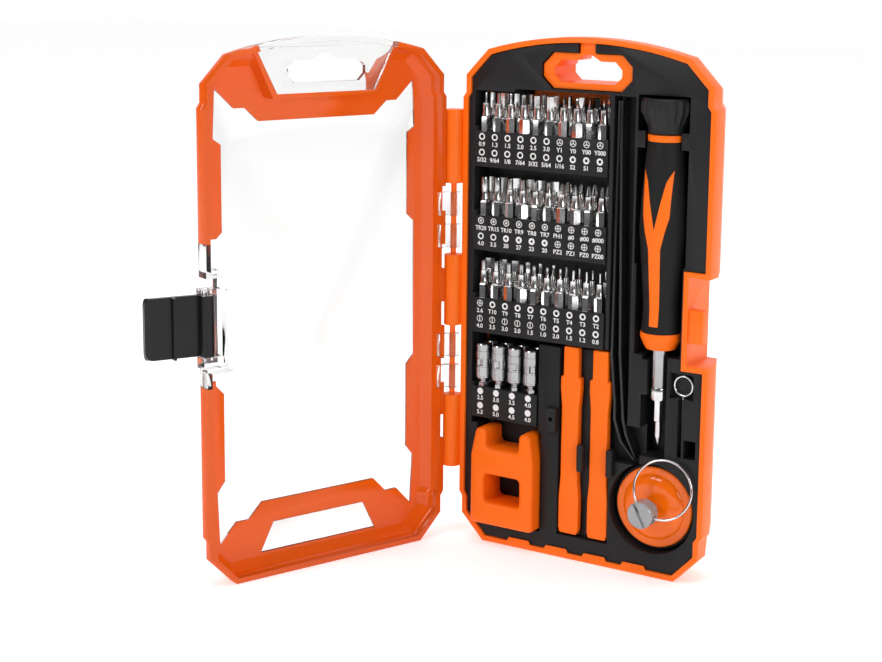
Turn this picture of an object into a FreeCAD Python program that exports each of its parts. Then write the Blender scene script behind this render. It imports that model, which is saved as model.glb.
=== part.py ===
"""Precision screwdriver set: a hinged case that stands open like a book, with its tools inside.

Case frame, in millimetres: X runs across the base from the hinge to the latch side, +Y runs into
the base from the parting plane, +Z is up along the case's long side. The whole set is then moved
so that the origin is the middle of the base's foot.
"""
import FreeCAD, Part
import math
import os
import re
import Sketcher

Vector = FreeCAD.Vector
Rotation = FreeCAD.Rotation
Placement = FreeCAD.Placement

SIZES = {
    # case outline, seen from the front
    "caseHalf": 60.0, "endStep": 1.5, "cornerWide": 11.0, "cornerTall": 11.5, "shoulderHigh": 222.0,
    "archRise": 6.6, "endHigh": 19.2, "endRamp": 2.2, "rimWall": 2.3,
    # base shell, and the raised tabs inside its lower rim
    "baseDeep": 21.5, "baseBand": 8.0, "baseTaper": 5.2,
    "bumpPitch": 19.0, "bumpHalf": 5.0, "bumpTall": 1.8,
    # lid
    "lidDeep": 12.5, "lidBand": 6.4, "lidTaper": 3.5, "lidFloor": 1.8, "lidOpen": 111.0,
    # hinge
    "hingeGap": 4.4, "barrelRadius": 4.0, "axleRadius": 1.25, "runGap": 0.08, "knuckleRadius": 3.1,
    "barrelLow": 33.0, "barrelHigh": 195.0, "windowTall": 32.2, "windowLow": 66.2, "windowHigh": 130.3,
    "knuckleTall": 10.4, "knuckleFirst": 3.2, "knuckleNext": 14.4,
    # carrying slot and its surround
    "slotHalf": 16.0, "slotLow": 209.3, "slotTall": 9.4, "slotPeak": 221.3, "peakHalf": 6.0,
    "bossHalf": 21.2, "bossLow": 206.6, "bossTall": 15.2, "bossFace": 2.4, "neckHalf": 3.8,
    "lidSlotHalf": 19.0, "plateauFace": 3.0, "plateauThick": 2.0, "plateauTopHalf": 34.3,
    "plateauFootHalf": 24.2, "plateauLow": 205.0, "plateauHigh": 224.4, "borderWide": 1.9,
    # latch, its recess in both halves, and the catch it hooks behind
    "recessDeep": 9.7, "recessLow": 94.5, "recessHigh": 132.0, "latchPinX": 56.2, "latchPinY": 7.0,
    "latchPinRadius": 1.2, "latchKnuckle": 3.1, "latchLow": 98.3, "latchTall": 25.7,
    "latchReach": 26.0, "latchThick": 2.0, "latchRibAt": 13.6, "latchRibIn": 2.0, "latchOpen": 99.0,
    "catchTall": 14.0, "catchFace": 1.4, "catchDeep": 4.8, "catchOut": 6.3, "earTall": 2.4,
    # clear windows of the lid
    "paneHalf": 50.3, "paneWaist": 46.6, "paneLow": 29.8, "paneHigh": 193.5, "sideLow": 86.0,
    "sideHigh": 146.0, "footPaneHalf": 29.6, "footPaneLow": 7.1, "footPaneTall": 12.8,
    # tray
    "trayFace": 1.0, "trayGap": 0.3, "trayBack": 18.6, "wellDeep": 13.6, "wellGap": 0.5,
    # bit racks
    "rackLeft": -54.0, "rackWide": 65.4, "rackTall": 15.6, "rackFace": 0.3, "rackThick": 11.6,
    "rackFirst": 96.3, "rackPitch": 37.15, "socketRackLow": 57.4, "socketRackWide": 33.4,
    "socketRackTall": 14.0, "rackPinRadius": 1.2, "rackPinIn": 2.2, "rackPinUp": 2.4, "rackPinLong": 1.3,
    "bitPitch": 6.45, "rowFront": 3.4, "rowBack": 8.8, "bitAcross": 4.0, "bitLong": 28.0,
    "shankLong": 17.5, "bitSeat": 4.3, "bitHole": 2.42, "neckRadius": 1.55, "tipLong": 4.0,
    "socketPitch": 8.2, "socketRadius": 3.65, "socketLong": 16.0, "socketBase": 75.0,
    "socketBore": 5.0, "socketNeck": 1.8, "socketFront": 3.0, "socketBack": 10.7,
    "socketRackThick": 13.8, "socketWell": 15.0,
    # driver
    "driverX": 36.4, "driverY": 4.7, "driverTop": 205.2, "driverRing": 190.2, "driverNeck": 187.3,
    "driverWaist": 107.0, "driverNose": 99.7, "capRadius": 11.2, "ringRadius": 7.9,
    "coreRadius": 6.0, "swellRadius": 10.4, "collarRadius": 8.85, "shaftRadius": 3.65,
    "shaftEnd": 83.0, "ferruleEnd": 77.5, "ferruleRadius": 3.9, "bitTip": 57.6, "magnetLong": 4.0,
    "capPinRadius": 1.5, "capPinLong": 20.0, "shaftTop": 120.0,
    # tweezers
    "tongTop": 203.0, "tongTail": 16.2, "tongThick": 1.2, "tongFace": 1.6, "tongDeep": 6.4,
    "tongWeld": 14.0,
    # pry tools
    "pryLow": 11.0, "pryTall": 84.5, "pryHalf": 4.9, "pryHeadHalf": 3.6, "pryWaistHalf": 4.2,
    "pryFace": 1.2, "pryThick": 3.6, "pryFirst": -4.4, "pryPitch": 14.2, "pryHeadTall": 13.5,
    # magnetizer
    "magnetX": -34.9, "magnetHalf": 16.0, "magnetLow": 9.8, "magnetTall": 44.2, "magnetFront": -6.0,
    "magnetBack": 11.0, "notchHalf": 8.6, "notchDeep": 8.6, "windowHalf": 9.1, "windowBase": 10.4,
    "windowHeight": 13.0, "chipLong": 10.0, "chipThick": 4.0,
    # suction cup
    "cupX": 35.6, "cupZ": 29.8, "cupRadius": 19.3, "cupBack": 11.2, "cupFace": 5.6,
    "plateRadius": 17.7, "plateFace": 4.5, "domeRadius": 14.0, "domeFace": 2.2, "knobRadius": 5.8,
    "knobFront": -10.0, "knobLong": 6.4, "cupStem": 2.6, "recessRadius": 19.9,
    "ringSize": 12.6, "ringWire": 0.8, "ringHole": 2.25, "ringHoleY": -6.8, "ringOffset": 1.2,
    "ringLean": 14.0, "ringTurn": 55.0,
    # eject pin
    "pinX": 47.9, "pinY": 4.0, "pinRingZ": 85.0, "pinRing": 4.2, "pinWire": 0.6, "pinTip": 57.5,
    "pinWell": 4.9,
    # cutters run this far past the faces they open
    "past": 1.0,
}

doc = FreeCAD.newDocument("screwdriver_set")
sheet = doc.addObject("Spreadsheet::Sheet", "Sizes")
for row, (alias, size) in enumerate(SIZES.items(), start=1):
    sheet.set(f"A{row}", alias)
    sheet.set(f"B{row}", str(size))
    sheet.setAlias(f"B{row}", alias)
doc.recompute()

WORD = re.compile(r"[A-Za-z]\w*")
TURNS = {
    "x": Rotation(Vector(0, 1, 0), 90),
    "y": Rotation(Vector(1, 0, 0), -90),
    "z": Rotation(),
}
NODES = []


def bound(text):
    """Expression for another object, from a sum of the sheet's aliases."""
    return WORD.sub(lambda word: f"Sizes.{word[0]}" if word[0] in SIZES else word[0], str(text))


def value(text):
    """Number that a sum of the sheet's aliases comes to."""
    return float(sheet.evalExpression(f"1.0 * ({text})"))


def place(thing, x, y, z):
    """Bind where a primitive stands."""
    for axis, text in zip("xyz", (x, y, z)):
        thing.setExpression(f"Placement.Base.{axis}", bound(text))
    return thing


def block(name, x, y, z):
    """Box between a low and a high on each axis."""
    box = doc.addObject("Part::Box", name)
    for side, (low, high) in zip(("Length", "Width", "Height"), (x, y, z)):
        box.setExpression(side, bound(f"({high}) - ({low})"))
    return place(box, x[0], y[0], z[0])


def rod(name, axis, radius, start, length):
    """Cylinder along an axis from the point start."""
    cylinder = doc.addObject("Part::Cylinder", name)
    cylinder.Placement = Placement(Vector(), TURNS[axis])
    cylinder.setExpression("Radius", bound(radius))
    cylinder.setExpression("Height", bound(length))
    return place(cylinder, *start)


def taper(name, radius_low, radius_high, start, length):
    """Upright cone from the point start."""
    cone = doc.addObject("Part::Cone", name)
    cone.setExpression("Radius1", bound(radius_low))
    cone.setExpression("Radius2", bound(radius_high))
    cone.setExpression("Height", bound(length))
    return place(cone, *start)


def bar(name, sides, across, start, length):
    """Upright bar with a regular section, measured across its flats."""
    prism = doc.addObject("Part::Prism", name)
    prism.Polygon = sides
    prism.setExpression("Circumradius", bound(f"({across}) / 2 / cos(180 deg / {sides})"))
    prism.setExpression("Height", bound(length))
    return place(prism, *start)


def origin_plane(body, role):
    """A body's own origin plane."""
    return next(plane for plane in body.Origin.OriginFeatures if plane.Role == role)


def sketch_on(body, name, role, points, offset="0", arcs=()):
    """Closed sketch through points; each side named in arcs is an arc of the given rise."""
    sketch = body.newObject("Sketcher::SketchObject", name)
    sketch.AttachmentSupport = [(origin_plane(body, role), "")]
    sketch.MapMode = "FlatFace"
    sketch.setExpression("AttachmentOffset.Base.z", bound(offset))
    corners = [Vector(value(across), value(up), 0) for across, up in points]
    rises = dict(arcs)
    for side, start in enumerate(corners):
        end = corners[(side + 1) % len(corners)]
        if side in rises:
            middle = (start + end) / 2 + Vector(0, value(rises[side]), 0)
            sketch.addGeometry(Part.Arc(start, middle, end))
        else:
            sketch.addGeometry(Part.LineSegment(start, end))
    for side in range(len(corners)):
        after = (side + 1) % len(corners)
        sketch.addConstraint(Sketcher.Constraint("Coincident", side, 2, after, 1))
    for side, (across, up) in enumerate(points):
        for kind, text in (("DistanceX", across), ("DistanceY", up)):
            index = sketch.addConstraint(Sketcher.Constraint(kind, -1, 1, side, 1, value(text)))
            sketch.setExpression(f"Constraints[{index}]", bound(text))
    for side, rise in rises.items():
        half = f"(({points[side][0]}) - ({points[side + 1][0]})) / 2"
        radius = f"(({half}) * ({half}) + ({rise}) * ({rise})) / (2 * ({rise}))"
        index = sketch.addConstraint(Sketcher.Constraint("Radius", side, value(radius)))
        sketch.setExpression(f"Constraints[{index}]", bound(radius))
    return sketch


def plate(name, points, y, arcs=()):
    """Body padded along Y from an outline in X and Z."""
    body = doc.addObject("PartDesign::Body", name)
    sketch = sketch_on(body, f"{name}_outline", "XZ_Plane", points, f"-({y[0]})", arcs)
    pad = body.newObject("PartDesign::Pad", f"{name}_pad")
    pad.Profile = sketch
    pad.Reversed = True
    pad.setExpression("Length", bound(f"({y[1]}) - ({y[0]})"))
    return body


def hull(name, near, near_y, far, far_y):
    """Body lofted along Y between two outlines with as many corners."""
    body = doc.addObject("PartDesign::Body", name)
    first = sketch_on(body, f"{name}_near", "XZ_Plane", near, f"-({near_y})")
    last = sketch_on(body, f"{name}_far", "XZ_Plane", far, f"-({far_y})")
    loft = body.newObject("PartDesign::AdditiveLoft", f"{name}_loft")
    loft.Profile = first
    loft.Sections = [last]
    loft.Ruled = True
    return body


def turned(name, profile, x, y, z="0", axis="z"):
    """Body turned about an axis through x, y, z from a profile of radius and height."""
    body = doc.addObject("PartDesign::Body", name)
    sketch = sketch_on(body, f"{name}_profile", "XZ_Plane", profile)
    spin = body.newObject("PartDesign::Revolution", f"{name}_spin")
    spin.Profile = sketch
    spin.ReferenceAxis = (sketch, ["V_Axis"])
    spin.Angle = 360
    body.Placement = Placement(Vector(), TURNS[axis])
    return place(body, x, y, z)


def fuse(name, parts):
    """One solid from several."""
    joined = doc.addObject("Part::MultiFuse", name)
    joined.Shapes = parts
    joined.Refine = True
    return joined


def cut(name, base, tools):
    """What is left of base without the tools."""
    tool = tools[0] if len(tools) == 1 else fuse(f"{name}_tools", tools)
    left = doc.addObject("Part::Cut", name)
    left.Base = base
    left.Tool = tool
    left.Refine = True
    return left


def common(name, first, second):
    """What two solids share."""
    shared = doc.addObject("Part::Common", name)
    shared.Base = first
    shared.Tool = second
    shared.Refine = True
    return shared


def link_to(thing, name):
    """A second link to a finished solid, so that two results can share it."""
    link = doc.addObject("Part::Compound", name)
    link.Links = [thing]
    return link


def standing(half):
    """Where a half of the case, or the latch on it, stands in the open set."""
    placement = Placement(Vector(0, -value("baseBand / 2"), 0), Rotation())
    upright = Vector(0, 0, 1)
    if half in ("lid", "latch"):
        hinge = Vector(-value("caseHalf + hingeGap"), 0, 0)
        placement *= Placement(Vector(), Rotation(upright, -value("lidOpen")), hinge)
    if half == "latch":
        pin = Vector(value("latchPinX"), -value("latchPinY"), 0)
        placement *= Placement(Vector(), Rotation(upright, -value("latchOpen")), pin)
    return placement


def node(label, parts, half="base"):
    """Name a finished sub-part and stand it in its half of the open case."""
    group = doc.addObject("Part::Compound", f"{label}_node")
    group.Links = parts
    group.Label = label
    group.Placement = standing(half)
    NODES.append(group)
    return group


def mirrored(points):
    """Whole outline from its right half, listed from the bottom to the top."""
    return points + [(f"-({across})", up) for across, up in reversed(points)]


def case_outline(inset):
    """Front outline of the case moved in by inset, from its foot round to its foot."""
    slant = f"({inset}) * 0.42"
    half = f"caseHalf - ({inset})"
    end = f"caseHalf - endStep - ({inset})"
    foot = f"caseHalf - endStep - cornerWide - {slant}"
    return mirrored([
        (foot, inset),
        (end, f"cornerTall + {slant}"),
        (end, "endHigh"),
        (half, "endHigh + endRamp"),
        (half, "shoulderHigh - endHigh - endRamp"),
        (end, "shoulderHigh - endHigh"),
        (end, f"shoulderHigh - cornerTall - {slant}"),
        (foot, f"shoulderHigh - ({inset})"),
    ])


def case_volume(name, inset, front, bend, back, narrowing):
    """Solid inside the case outline: a straight band, then a tapered part down to the back."""
    outline = case_outline(inset)
    shoulder = len(outline) // 2 - 1
    edges = (bend, front) if value(front) > value(bend) else (front, bend)
    band = plate(f"{name}_band", outline, edges, [(shoulder, "archRise")])
    cone = hull(f"{name}_cone", outline, bend, case_outline(f"{inset} + {narrowing}"), back)
    return fuse(f"{name}_volume", [band, cone])


def base_volume(name, inset, front, back):
    """Solid inside the base's outline."""
    return case_volume(name, inset, front, "baseBand", back, "baseTaper")


def lid_volume(name, inset, front, back):
    """Solid inside the lid's outline."""
    return case_volume(name, inset, front, "-lidBand", back, "lidTaper")


def slot_shape(name, half, y):
    """Carrying slot with its hanging peak, between two depths."""
    chamfer = "slotTall / 3"
    high = "slotLow + slotTall"
    return plate(name, mirrored([
        (f"{half} - {chamfer}", "slotLow"),
        (half, f"slotLow + {chamfer}"),
        (half, f"{high} - {chamfer}"),
        (f"{half} - {chamfer}", high),
        ("peakHalf", high),
        ("peakHalf / 4", "slotPeak"),
    ]), y)


def boss_shape(name, grow, y):
    """Surround of the carrying slot, grown all round."""
    chamfer = "bossTall / 3"
    low = f"bossLow - ({grow})"
    high = f"bossLow + bossTall + ({grow})"
    half = f"bossHalf + ({grow})"
    return plate(name, mirrored([
        (f"{half} - {chamfer}", low),
        (half, f"{low} + {chamfer}"),
        (half, f"{high} - {chamfer}"),
        (f"{half} - {chamfer}", high),
    ]), y)


def recess_block(name, grow):
    """Latch recess, cut through a half's side wall; grown to give the wall around it."""
    return block(name, (f"caseHalf - recessDeep - ({grow})", "caseHalf + past"),
                 ("-lidDeep - past", "baseDeep + past"),
                 (f"recessLow - ({grow})", f"recessHigh + ({grow})"))


def rim_bump(index):
    """Raised trapezoid on the inside of the base's lower rim."""
    middle = f"({index} - 1.5) * bumpPitch"
    return plate(f"base_bump_{index}", [
        (f"{middle} - bumpHalf - bumpTall", "rimWall / 2"),
        (f"{middle} + bumpHalf + bumpTall", "rimWall / 2"),
        (f"{middle} + bumpHalf", "rimWall + bumpTall"),
        (f"{middle} - bumpHalf", "rimWall + bumpTall"),
    ], ("0", "trayFace - trayGap"))


def arch_back(name, y):
    """Wall that closes the back of the arch along a half's top."""
    foot = "caseHalf - endStep - cornerWide"
    return plate(name, [
        (f"-({foot})", "shoulderHigh - rimWall"),
        (foot, "shoulderHigh - rimWall"),
        (foot, "shoulderHigh"),
        (f"-({foot})", "shoulderHigh"),
    ], y, [(2, "archRise")])


def base_shell():
    """Orange base: tapered tub with hinge column, latch recess, catch and carrying slot."""
    outer = cut("base_outer", base_volume("base_out", "0", "0", "baseDeep"),
                [recess_block("base_recess", "0")])
    inner = cut("base_inner", base_volume("base_in", "rimWall", "-past", "baseDeep - rimWall"),
                [recess_block("base_recess_wall", "rimWall")])
    tub = cut("base_tub", outer, [inner])
    boss = boss_shape("base_boss", "0", ("bossFace", "baseDeep"))
    neck = block("base_neck", ("-neckHalf", "neckHalf"), ("bossFace", "baseBand"),
                 ("bossLow + bossTall - past", "shoulderHigh + archRise - rimWall / 2"))
    trim = base_volume("base_trim", "0", "0", "baseDeep")
    surround = common("base_surround", fuse("base_boss_neck", [boss, neck]), trim)
    barrel = rod("base_barrel", "z", "barrelRadius", ("-(caseHalf + hingeGap)", "0", "barrelLow"),
                 "barrelHigh - barrelLow")
    web = block("base_web", ("-(caseHalf + hingeGap)", "-(caseHalf - rimWall / 2)"),
                ("runGap * 5", "barrelRadius"), ("barrelLow", "barrelHigh"))
    windows = [
        block(f"base_{low}", ("-(caseHalf + hingeGap + barrelRadius + past)", "-caseHalf"),
              ("-barrelRadius - past", "barrelRadius + past"), (low, f"{low} + windowTall"))
        for low in ("windowLow", "windowHigh")
    ]
    column = cut("base_column", fuse("base_column_solid", [barrel, web]), windows)
    axle = rod("base_axle", "z", "axleRadius",
               ("-(caseHalf + hingeGap)", "0", "windowLow - past"),
               "windowHigh + windowTall - windowLow + 2 * past")
    catch = block("base_catch",
                  ("caseHalf - recessDeep - rimWall / 2", "caseHalf - recessDeep + catchOut"),
                  ("catchFace", "catchFace + catchDeep"),
                  ("latchLow + (latchTall - catchTall) / 2", "latchLow + (latchTall + catchTall) / 2"))
    bumps = [rim_bump(index) for index in range(4)]
    crown = arch_back("base_crown", ("baseBand - rimWall", "baseBand"))
    solid = fuse("base_solid", [tub, crown, surround, column, axle, catch] + bumps)
    slot = slot_shape("base_slot", "slotHalf", ("-past", "baseDeep + past"))
    return node("base_shell", [cut("base_shell_cut", solid, [slot])])


# ---------------------------------------------------------------- tray
def rack_pin_row(name, low, wide, radius, spare):
    """Stub axle across a rack's two ends, or the holes for it."""
    return rod(name, "x", radius,
               (f"rackLeft - rackPinLong - ({spare})", "rackFace + rackPinIn", f"{low} + rackPinUp"),
               f"{wide} + 2 * (rackPinLong + ({spare}))")


def well(name, x, z, floor):
    """Pocket in the tray, open at the front."""
    return block(name, x, ("-past", floor), z)


def tray_insert():
    """Black moulded insert that fills the base and holds every tool in its own well."""
    body = base_volume("tray", "rimWall + trayGap", "trayFace", "trayBack")
    right = "rackLeft + rackWide + wellGap"
    driver = "driverX"
    tools = [
        recess_block("tray_recess", "rimWall + trayGap"),
        boss_shape("tray_boss", "trayGap", ("-past", "baseDeep")),
        block("tray_neck", ("-neckHalf - trayGap", "neckHalf + trayGap"), ("-past", "baseDeep"),
              ("bossLow + bossTall / 2", "shoulderHigh + archRise")),
        block("tray_crown", ("-caseHalf", "caseHalf"), ("baseBand - rimWall - trayGap", "baseDeep"),
              ("shoulderHigh - rimWall - trayGap", "shoulderHigh + archRise")),
        well("well_racks", ("rackLeft - wellGap", right),
             ("rackFirst - 2 * past", "rackFirst + 2 * rackPitch + bitSeat + bitLong + past"),
             "wellDeep"),
        well("well_sockets", ("rackLeft - wellGap", "rackLeft + socketRackWide + wellGap"),
             ("socketRackLow - 3 * past", "rackFirst - past"), "socketWell"),
        well("well_top", ("rackLeft + bitPitch * 3", "rackLeft + rackWide - wellGap"),
             ("rackFirst + 2 * rackPitch + bitLong", "bossLow - trayGap - past"), "baseDeep"),
        well("well_magnetizer", ("magnetX - magnetHalf - wellGap", "magnetX + magnetHalf + wellGap"),
             ("magnetLow - wellGap", "magnetLow + magnetTall + wellGap"), "magnetBack + trayGap"),
        well("well_pry", ("pryFirst - pryHalf - wellGap", "pryFirst + pryPitch + pryHalf + wellGap"),
             ("pryLow - past", "pryLow + pryTall + past"), "pryFace + pryThick + trayGap"),
        well("well_tweezers", ("tongTail - 2.2 * tongThick", "driverX - capRadius - 1.6 * past"),
             ("pryLow + pryTall", "tongTop + 2 * past"), "tongFace + tongDeep + trayGap"),
        well("well_tweezers_low", ("tongTail - 2.2 * tongThick", "driverX - capRadius - 1.6 * past"),
             ("cupZ + recessRadius - past", "pryLow + pryTall + past"), "tongFace + tongDeep + trayGap"),
        well("well_tweezers_tip", ("tongTail", "driverX - shaftRadius - 3 * past"),
             ("cupZ + recessRadius - 2 * past", "cupZ + recessRadius + 15 * past"),
             "tongFace + tongDeep + trayGap"),
        well("well_driver", (f"{driver} - capRadius - wellGap", f"{driver} + capRadius + wellGap"),
             ("recessHigh + rimWall + past", "driverTop + past"), "driverY + capRadius + wellGap"),
        well("well_grip", (f"{driver} - swellRadius - trayGap", f"{driver} + swellRadius + trayGap"),
             ("driverNose - 3 * past", "recessHigh + 2 * rimWall"), "driverY + swellRadius + wellGap"),
        well("well_shaft", (f"{driver} - ferruleRadius - 3 * past", f"{driver} + ferruleRadius + past"),
             ("bitTip - 5 * past", "driverNose - past"), "driverY + swellRadius"),
        rod("well_cup", "y", "recessRadius", ("cupX", "-past", "cupZ"), "past + cupBack + trayGap"),
        well("well_pin_ring", ("pinX - pinRing - pinWire - trayGap", "pinX + pinRing + pinWire + past"),
             ("pinRingZ - pinRing - past", "pinRingZ + pinRing + pinWire + past"), "pinWell"),
        well("well_pin_stem", ("pinX - past", "pinX + past"),
             ("pinTip - 3 * past", "pinRingZ"), "pinWell"),
        well("well_pin_side", ("pinX + 2 * past", "caseHalf - 2 * rimWall"),
             ("pinTip - 3 * past", "pinTip + 5 * past"), "wellDeep"),
    ]
    for index, low in enumerate(rack_lows()):
        wide = "rackWide" if index < 3 else "socketRackWide"
        tools.append(rack_pin_row(f"tray_pin_{index}", low, wide, "rackPinRadius + runGap", "trayGap"))
    clips = [
        block(f"clip_{name}", x, ("trayFace", "wellDeep + past"), z)
        for name, x, z in (
            ("neck_left", (f"{driver} - capRadius - past", f"{driver} - ringRadius - trayGap"),
             ("driverNeck - 3 * past", "driverRing + past")),
            ("neck_right", (f"{driver} + ringRadius + trayGap", f"{driver} + capRadius + past"),
             ("driverNeck - 3 * past", "driverRing + past")),
            ("shaft_left", (f"{driver} - ferruleRadius - 4 * past", f"{driver} - ferruleRadius - trayGap"),
             ("ferruleEnd + 2 * past", "driverNose - 5 * past")),
        )
    ]
    hollow = cut("tray_hollow", body, tools)
    return node("tray_insert", [fuse("tray_solid", [hollow] + clips)])


# ---------------------------------------------------------------- racks, bits and sockets
def rack_lows():
    """Bottom of each rack: the three bit racks from the top down, then the socket rack."""
    return [f"rackFirst + {step} * rackPitch" for step in (2, 1, 0)] + ["socketRackLow"]


def bit_x(index):
    """Across position of a bit in its rack."""
    return f"rackLeft + rackWide / 2 + ({index} - 4.5) * bitPitch"


def socket_x(index):
    """Across position of a nut driver in its rack."""
    return f"rackLeft + socketRackWide / 2 + ({index} - 1.5) * socketPitch"


def rack(index, low):
    """Black rack that tilts out on two stub axles, bored for its bits."""
    sockets = index == 3
    wide, tall, thick, rows = ("rackWide", "rackTall", "rackThick", ("rowFront", "rowBack"))
    if sockets:
        wide, tall, thick = ("socketRackWide", "socketRackTall", "socketRackThick")
        rows = ("socketFront", "socketBack")
    name = f"rack_{index + 1}"
    solid = block(f"{name}_block", ("rackLeft", f"rackLeft + {wide}"),
                  ("rackFace", f"rackFace + {thick}"), (low, f"{low} + {tall}"))
    pins = rack_pin_row(f"{name}_pins", low, wide, "rackPinRadius", "0")
    lug = block(f"{name}_lug", ("rackLeft", "rackLeft + past"),
                ("rackFace", "rackFace + rackThick / 2"), (f"{low} + {tall}", f"{low} + {tall} + 2 * past"))
    count = 4 if sockets else 10
    across = socket_x if sockets else bit_x
    holes = [
        rod(f"{name}_{row}_{spot}", "z", "bitHole", (across(spot), row, f"{low} + bitSeat"), tall)
        for row in rows
        for spot in range(count)
    ]
    body = fuse(f"{name}_solid", [solid, pins, lug])
    return node(name, [cut(f"{name}_cut", body, holes)])


def tip_parts(name, kind, size, x, y, low):
    """Solids that make up the working tip of a bit."""
    reach = "tipLong + past"
    start = (x, y, low)
    if kind in ("hex", "square", "triangle"):
        sides = {"hex": 6, "square": 4, "triangle": 3}[kind]
        return [bar(f"{name}_tip", sides, f"min({size}; bitAcross) * 0.8", start, reach)]
    if kind == "slot":
        return [block(f"{name}_tip", (f"{x} - {size} / 2", f"{x} + {size} / 2"),
                      (f"{y} - neckRadius / 3", f"{y} + neckRadius / 3"), (low, f"{low} + {reach}"))]
    if kind == "cross":
        shape = taper(f"{name}_cone", "neckRadius", f"{size} / 4", start, reach)
        wings = [
            block(f"{name}_{way}", (f"{x} - {wide}", f"{x} + {wide}"), (f"{y} - {deep}", f"{y} + {deep}"),
                  (low, f"{low} + {reach}"))
            for way, wide, deep in (("across", "neckRadius", "neckRadius / 4"),
                                    ("along", "neckRadius / 4", "neckRadius"))
        ]
        return [common(f"{name}_tip", shape, fuse(f"{name}_wings", wings))]
    points = []
    for half in range(2):
        point = bar(f"{name}_star_{half}", 3, f"{size} * 0.5", start, reach)
        point.Placement = Placement(point.Placement.Base, Rotation(Vector(0, 0, 1), 180 * half))
        place(point, *start)
        points.append(point)
    return points


def bit(name, kind, size, x, y, low):
    """Screwdriver bit: hexagonal shank, round neck and a working tip, standing tip up."""
    shank = bar(f"{name}_shank", 6, "bitAcross", (x, y, low), "shankLong")
    neck = rod(f"{name}_neck", "z", "neckRadius", (x, y, f"{low} + shankLong - past"),
               "bitLong - shankLong - tipLong + past")
    tip = tip_parts(name, kind, size, x, y, f"{low} + bitLong - tipLong - past")
    return fuse(name, [shank, neck] + tip)


def bit_group(label, rack_index, row, first, kind, sizes):
    """Neighbouring bits of one tip family, in one row of one rack."""
    low = f"{rack_lows()[rack_index]} + bitSeat"
    return node(label, [
        bit(f"{label}_{step}", kind, size, bit_x(first + step), row, low)
        for step, size in enumerate(sizes)
    ])


def socket_group(label, row, sizes):
    """Row of small nut drivers standing in the socket rack."""
    pieces = []
    for index, size in enumerate(sizes):
        x = socket_x(index)
        name = f"{label}_{index}"
        shank = bar(f"{name}_shank", 6, "bitAcross", (x, row, "socketRackLow + bitSeat"),
                    "socketBase - socketRackLow - bitSeat - past")
        neck = rod(f"{name}_neck", "z", "socketNeck", (x, row, "socketRackLow + socketRackTall"),
                   "socketBase - socketRackLow - socketRackTall + past")
        barrel = rod(f"{name}_barrel", "z", "socketRadius", (x, row, "socketBase"), "socketLong")
        bore = bar(f"{name}_bore", 6, size, (x, row, "socketBase + socketLong - socketBore"),
                   "socketBore + past")
        pieces.append(cut(name, fuse(f"{name}_solid", [shank, neck, barrel]), [bore]))
    return node(label, pieces)


# ---------------------------------------------------------------- driver
def driver_round(name, profile):
    """Body turned about the driver's axis from a profile of radius and height."""
    return turned(name, profile, "driverX", "driverY")


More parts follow.
